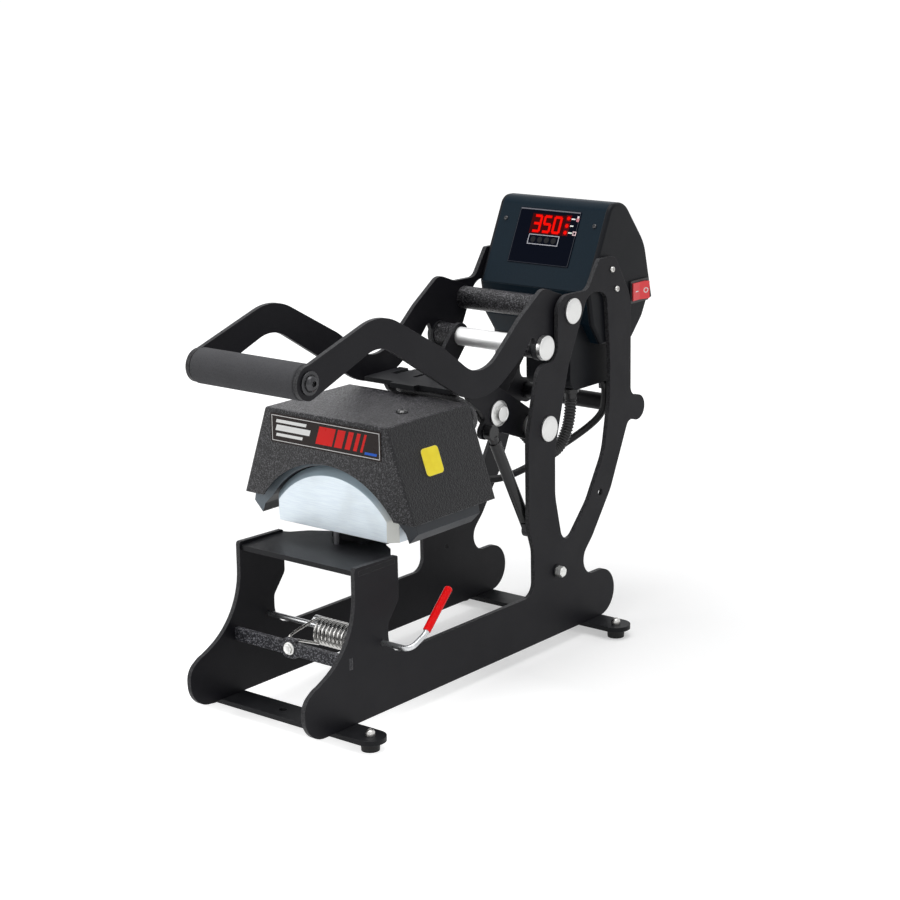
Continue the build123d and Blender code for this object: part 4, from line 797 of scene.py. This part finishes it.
tree, takes, gives = effect("printed bar",
    {"Across": 0.0, "Up": 0.0, "Middle Across": 0.0, "Middle Up": 0.0,
    "Half Width": 0.01, "Half Height": 0.01, "Slant": 0.0}, ("Ink",))
up = calc(tree, "SUBTRACT", takes["Up"], takes["Middle Up"])
along = calc(tree, "SUBTRACT", calc(tree, "SUBTRACT", takes["Across"], takes["Middle Across"]),
    calc(tree, "MULTIPLY", up, takes["Slant"]))
inside_width = calc(tree, "LESS_THAN", calc(tree, "ABSOLUTE", along), takes["Half Width"])
inside_height = calc(tree, "LESS_THAN", calc(tree, "ABSOLUTE", up), takes["Half Height"])
tree.links.new(calc(tree, "MULTIPLY", inside_width, inside_height), gives["Ink"])
printed_bar = tree

plate_print, tree, skin = material("printed name plate", (0.01, 0.01, 0.011), 0.35, Specular_IOR_Level=0.15)
spot = spot_axes(tree)
film = place(tree, smears, Size=120.0, Amount=0.2, Dust=0.0)
tone = (0.012, 0.006, 0.005, 1)
plate_bars = [
    # middle across, middle up, half width, half height, slant, colour (mm)
    (0.8, 268.2, 68.4, 12.7, 0.0, (0.72, 0.71, 0.7)), (0.8, 268.2, 67.7, 12.0, 0.0, (0.012, 0.006, 0.005)),
    (-42.0, 275.4, 19.5, 1.6, 0.35, (0.86, 0.86, 0.85)),
    (-40.0, 268.8, 22.0, 2.9, 0.35, (0.86, 0.86, 0.85)),
    (-45.0, 261.9, 17.0, 1.5, 0.35, (0.86, 0.86, 0.85)),
    (2.0, 268.6, 10.4, 8.8, 0.35, (0.75, 0.012, 0.01)), (20.0, 268.6, 4.8, 8.8, 0.35, (0.75, 0.012, 0.01)),
    (31.8, 268.6, 3.2, 8.8, 0.35, (0.75, 0.012, 0.01)), (41.4, 268.6, 2.2, 8.8, 0.35, (0.75, 0.012, 0.01)),
    (49.4, 268.6, 1.4, 8.8, 0.35, (0.75, 0.012, 0.01)), (58.0, 259.6, 7.4, 1.2, 0.35, (0.02, 0.12, 0.6)),
]
for middle, height, half, tall, slant, ink in plate_bars:
    bar = place(tree, printed_bar, Across=spot["X"], Up=spot["Z"], Middle_Across=middle * mm,
        Middle_Up=height * mm,
        Half_Width=half * mm, Half_Height=tall * mm, Slant=slant)
    tone = blend_colour(tree, bar["Ink"], tone, (*ink, 1))
feed(skin, "Base Color", tone)
feed(skin, "Roughness", calc(tree, "ADD", film["Shine"], 0.3))
wear(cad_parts["name_plate"], plate_print)

yellow_vinyl, tree, skin = material("yellow sticker", (0.93, 0.78, 0.03), 0.35, Specular_IOR_Level=0.4)
edge = place(tree, rubbed_and_highlit_edges, Round=0.0006, Wear=1.0)
film = place(tree, smears, Size=150.0, Amount=0.2, Dust=0.0)
spot = object_spot(tree)
fade = noise(tree, spot, 90, 4)
tone = blend_colour(tree, ramp(tree, fade, 0.35, 0.7), (1.0, 0.82, 0.03, 1), (0.94, 0.75, 0.02, 1))
feed(skin, "Base Color", blend_colour(tree, edge["Edge"], tone, (0.9, 0.86, 0.6, 1)))
feed(skin, "Roughness", calc(tree, "ADD", film["Shine"], 0.34))
wear(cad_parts["caution_plate"], yellow_vinyl)

# ---- Gas springs ------------------------------------------------------------------------------
# Two small gas springs lift the head: black cylinders with a satin coat, dark rods, and steel
# eyes on studs at both ends.
cylinder_black = powder_coat("gas cylinder black", (0.011, 0.011, 0.012), (0.05, 0.05, 0.055), 0.3, 0.12,
    0.5, 0.1, 0.4)
wear(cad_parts["gas_cylinders"], cylinder_black)
rod_dark = bright_metal("nitrided rod", (0.05, 0.05, 0.053), 0.3)
wear(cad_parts["gas_rods"], rod_dark)

# ---- Hold-down lever, its post and torsion spring ------------------------------------------------
# A zinc-plated rod with a red dipped vinyl handle turns in the side plates. A bright torsion
# spring hangs on a short post behind it. Its left leg is bent back in a U and its right leg
# rests on the crossbar.
wear(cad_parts["hold_down_rod"], zinc)
wear(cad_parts["spring_post"], zinc)

red_vinyl, tree, skin = material("red dipped vinyl", (1.0, 0.005, 0.008), 0.24, Specular_IOR_Level=0.1)
film = place(tree, smears, Size=200.0, Amount=0.2, Dust=0.0)
spot = object_spot(tree)
drips = noise(tree, spot, 260, 3)
feed(skin, "Base Color", blend_colour(tree, ramp(tree, drips, 0.3, 0.7), (0.92, 0.004, 0.006, 1),
    (1.0, 0.008, 0.01, 1)))
feed(skin, "Roughness", calc(tree, "ADD", film["Shine"], 0.22))
runs = add_node(tree, "Bump", {"Height": drips, "Strength": 0.3, "Distance": 0.0004})
feed(skin, "Normal", runs.outputs[0])
wear(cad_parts["vinyl_sleeve"], red_vinyl)

coil_turns = 8.4
coil_pitch = 5.0
coil_start = -6.0
turn_points = 14
coil_middle = (-170.4, 77.65)
coil_radius = 12.4
coil_points = [(2.0, -181.0, 68.5), (-2.0, -196.0, 74.5), (-7.0, -208.0, 78.5), (-9.5, -210.0, 81.0),
    (-9.5, -204.0, 83.5), (-7.5, -190.0, 87.0), (-6.5, -180.0, 89.3)]
for step in range(int(coil_turns * turn_points) + 1):
    turn = 2 * pi * step / turn_points
    coil_points.append((coil_start + coil_pitch * turn / (2 * pi), coil_middle[0] + coil_radius * sin(turn),
        coil_middle[1] + coil_radius * cos(turn)))
coil_points += [(37.5, -172.0, 66.0), (46.0, -185.0, 70.5), (56.0, -202.0, 77.5), (62.0, -212.0, 81.4)]
torsion_spring = wire("torsion_spring", coil_points, 1.4)
spring_steel = bright_metal("spring steel", (0.66, 0.65, 0.63), 0.22, stain=0.35)
wear(torsion_spring, spring_steel)
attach(torsion_spring, "frame")
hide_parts("hold_down_spring")

# ---- Controller housing ---------------------------------------------------------------------
# A folded steel shell between two side walls, in smooth satin blue-black powder coat, with a
# relay box under it. The sloping panel has the display window, and screws hold the shell.
shell_black = powder_coat("satin blue-black shell", (0.004, 0.0115, 0.019), (0.06, 0.07, 0.08), 0.4, 0.18,
    0.6, 0.12, 0.08)
wall_black = powder_coat("satin black side wall", (0.0055, 0.0062, 0.0082), (0.05, 0.052, 0.06), 0.42, 0.2,
    0.5, 0.15, 0.12)
wear(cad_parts["controller_shell"], shell_black)
wear(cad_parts["controller_base"], shell_black)
wear(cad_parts["controller_side_walls"], wall_black)
wear(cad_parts["relay_box"], wall_black)

panel_foot = Vector((0, 164.6, 363.0))
panel_rise = Vector((0, 205.4 - 164.6, 449.4 - 363.0)).normalized()
panel_out = Vector((0, -panel_rise.z, panel_rise.y))
panel_screws = turned_piece("panel_screws",
    [[(1.8, -6.0, 0), (1.8, 0, 0)], [(2.3, 0, 0), (2.4, 0.15, 0), (2.3, 0.8, 0),
    (1.9, 1.2, 0), (1.4, 1.4, 0), (0.95, 1.4, 1), (0.9, 1.3, 1), (0.9, 0.5, 1)]],
    [tuple(panel_foot + Vector((x, 0, 0)) + panel_rise * 70.3) for x in (-57.5, 57.5)], panel_out)
wall_screws = []
wall_screw_profile = [[(2.5, -9.3, 0), (2.5, 0, 0)],
    [(3.2, 0, 0), (3.3, 0.2, 0), (3.2, 1.0, 0), (2.8, 1.8, 0),
    (2.0, 2.2, 0), (1.45, 2.2, 1), (1.35, 2.0, 1), (1.35, 0.9, 1)]]
for name, way in (("wall_screws_right", 1), ("wall_screws_left", -1)):
    wall_screws.append(turned_piece(name, wall_screw_profile,
        [(way * plate_face, 199.2, 383.1), (way * plate_face, 207.4, 361.7)],
        (way, 0, 0)))
wear(panel_screws, black_oxide)
for piece in wall_screws:
    wear(piece, stainless)
for piece in (panel_screws, *wall_screws):
    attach(piece, "frame")
    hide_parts("controller_screws")

# ---- Display label, digits and keys ---------------------------------------------------------------
# A glossy dark navy overlay with a paler strip along its top edge that is a painted reflection, lit red
# digits and three red lamps behind it, and four flat keys in a thin pale frame.


def up_panel(tree, spot):
    """How far up the sloping panel a point lies from the panel's lower edge."""
    behind = calc(tree, "SUBTRACT", spot["Y"], panel_foot.y * mm)
    above = calc(tree, "SUBTRACT", spot["Z"], panel_foot.z * mm)
    return calc(tree, "ADD", calc(tree, "MULTIPLY", behind, panel_rise.y),
        calc(tree, "MULTIPLY", above, panel_rise.z))


overlay, tree, skin = material("display overlay", (0.001, 0.0022, 0.007), 0.4, Specular_IOR_Level=0.02)
spot = spot_axes(tree)
rise = up_panel(tree, spot)
film = place(tree, smears, Size=90.0, Amount=0.12, Dust=0.0)
tone = (0.001, 0.0022, 0.007, 1)
label_bars = [
    # middle across, middle up, half width, half height, colour (mm)
    (-2.0, 53.9, 38.9, 29.7, (0.05, 0.055, 0.065)), (-2.0, 53.4, 38.3, 28.8, (0.001, 0.0022, 0.007)),
    # The pale strip along the label's top edge, 82.7 up, is a painted reflection.
    (-2.0, 82.7, 38.3, 0.6, (0.16, 0.16, 0.18)), (-2.0, 67.4, 21.2, 11.0, (0.05, 0.0015, 0.002)),
    (23.3, 75.9, 3.4, 3.4, (0.12, 0.002, 0.003)), (23.3, 67.8, 3.4, 3.4, (0.12, 0.002, 0.003)),
    (23.3, 60.4, 3.4, 3.4, (0.12, 0.002, 0.003)),
    (29.4, 75.6, 2.5, 0.7, (0.85, 0.85, 0.85)), (29.4, 68.1, 2.1, 0.7, (0.8, 0.8, 0.75)),
    (29.4, 60.6, 2.5, 0.7, (0.75, 0.85, 0.75)),
    (34.9, 77.6, 1.1, 1.6, (0.8, 0.7, 0.72)), (35.0, 75.0, 1.8, 1.9, (0.5, 0.2, 0.23)),
    (35.0, 60.4, 2.3, 2.2, (0.7, 0.5, 0.52)), (35.0, 60.4, 1.2, 1.2, (0.001, 0.0022, 0.007)),
]
for middle, height, half, tall, ink in label_bars:
    bar = place(tree, printed_bar, Across=spot["X"], Up=rise, Middle_Across=middle * mm,
        Middle_Up=height * mm,
        Half_Width=half * mm, Half_Height=tall * mm)
    tone = blend_colour(tree, bar["Ink"], tone, (*ink, 1))
feed(skin, "Base Color", tone)
feed(skin, "Roughness", calc(tree, "ADD", film["Shine"], 0.3))
wear(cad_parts["display_label"], overlay)

lit_red, tree, skin = material("lit red segments", (0.1, 0, 0), 0.5, Specular_IOR_Level=0.0,
    Emission_Strength=1.0)
glow_noise = noise(tree, object_spot(tree), 420, 2)
feed(skin, "Emission Color", blend_colour(tree, glow_noise, (0.72, 0.001, 0.001, 1),
    (1.0, 0.012, 0.006, 1)))
wear(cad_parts["display_digits"], lit_red)

key_grey, tree, skin = material("printed keys", (0.2, 0.21, 0.24), 0.35, Specular_IOR_Level=0.15)
spot = spot_axes(tree)
rise = up_panel(tree, spot)
inner = place(tree, printed_bar, Across=spot["X"], Up=rise, Middle_Across=-0.002, Middle_Up=0.0502,
    Half_Width=0.0188, Half_Height=0.0046)
feed(skin, "Base Color", blend_colour(tree, inner["Ink"], (0.42, 0.42, 0.46, 1),
    (0.0012, 0.0015, 0.003, 1)))
wear(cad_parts["key_pad"], key_grey)

# ---- Power switch and inlet ---------------------------------------------------------------------
# A red rocker with a white dash and ring sits in a black bezel on the right wall, and a mains
# inlet with three blades on the left. Both are moulded plastic.
moulded, tree, skin = material("black moulded plastic", (0.012, 0.012, 0.013), 0.38, Specular_IOR_Level=0.4)
film = place(tree, smears, Size=130.0, Amount=0.2, Dust=0.2)
grain = place(tree, orange_peel, Size=2400.0, Depth=0.3)
feed(skin, "Base Color", blend_colour(tree, film["Film"], (0.012, 0.012, 0.013, 1), (0.09, 0.09, 0.09, 1)))
feed(skin, "Roughness", calc(tree, "ADD", film["Shine"], 0.38))
feed(skin, "Normal", grain["Normal"])
for name in ("rocker_bezel", "power_inlet", "closing_switch", "cable_glands"):
    wear(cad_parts[name], moulded)

rocker_red, tree, skin = material("red rocker", (0.95, 0.09, 0.1), 0.25, Specular_IOR_Level=0.2)
spot = spot_axes(tree)
film = place(tree, smears, Size=180.0, Amount=0.15, Dust=0.0)
dash = place(tree, printed_bar, Across=spot["Y"], Up=spot["Z"], Middle_Across=0.2475, Middle_Up=0.3525,
    Half_Width=0.0027, Half_Height=0.0006)
ring_reach = calc(tree, "SQRT", calc(tree, "ADD",
    calc(tree, "POWER", calc(tree, "SUBTRACT", spot["Y"], 0.2605), 2.0),
    calc(tree, "POWER", calc(tree, "SUBTRACT", spot["Z"], 0.3525), 2.0)))
ring = calc(tree, "LESS_THAN", calc(tree, "ABSOLUTE", calc(tree, "SUBTRACT", ring_reach, 0.0024)), 0.0005)
marks = calc(tree, "ADD", dash["Ink"], ring, True)
feed(skin, "Base Color", blend_colour(tree, marks, (0.95, 0.09, 0.1, 1), (0.9, 0.88, 0.86, 1)))
feed(skin, "Roughness", calc(tree, "ADD", film["Shine"], 0.25))
wear(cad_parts["rocker"], rocker_red)
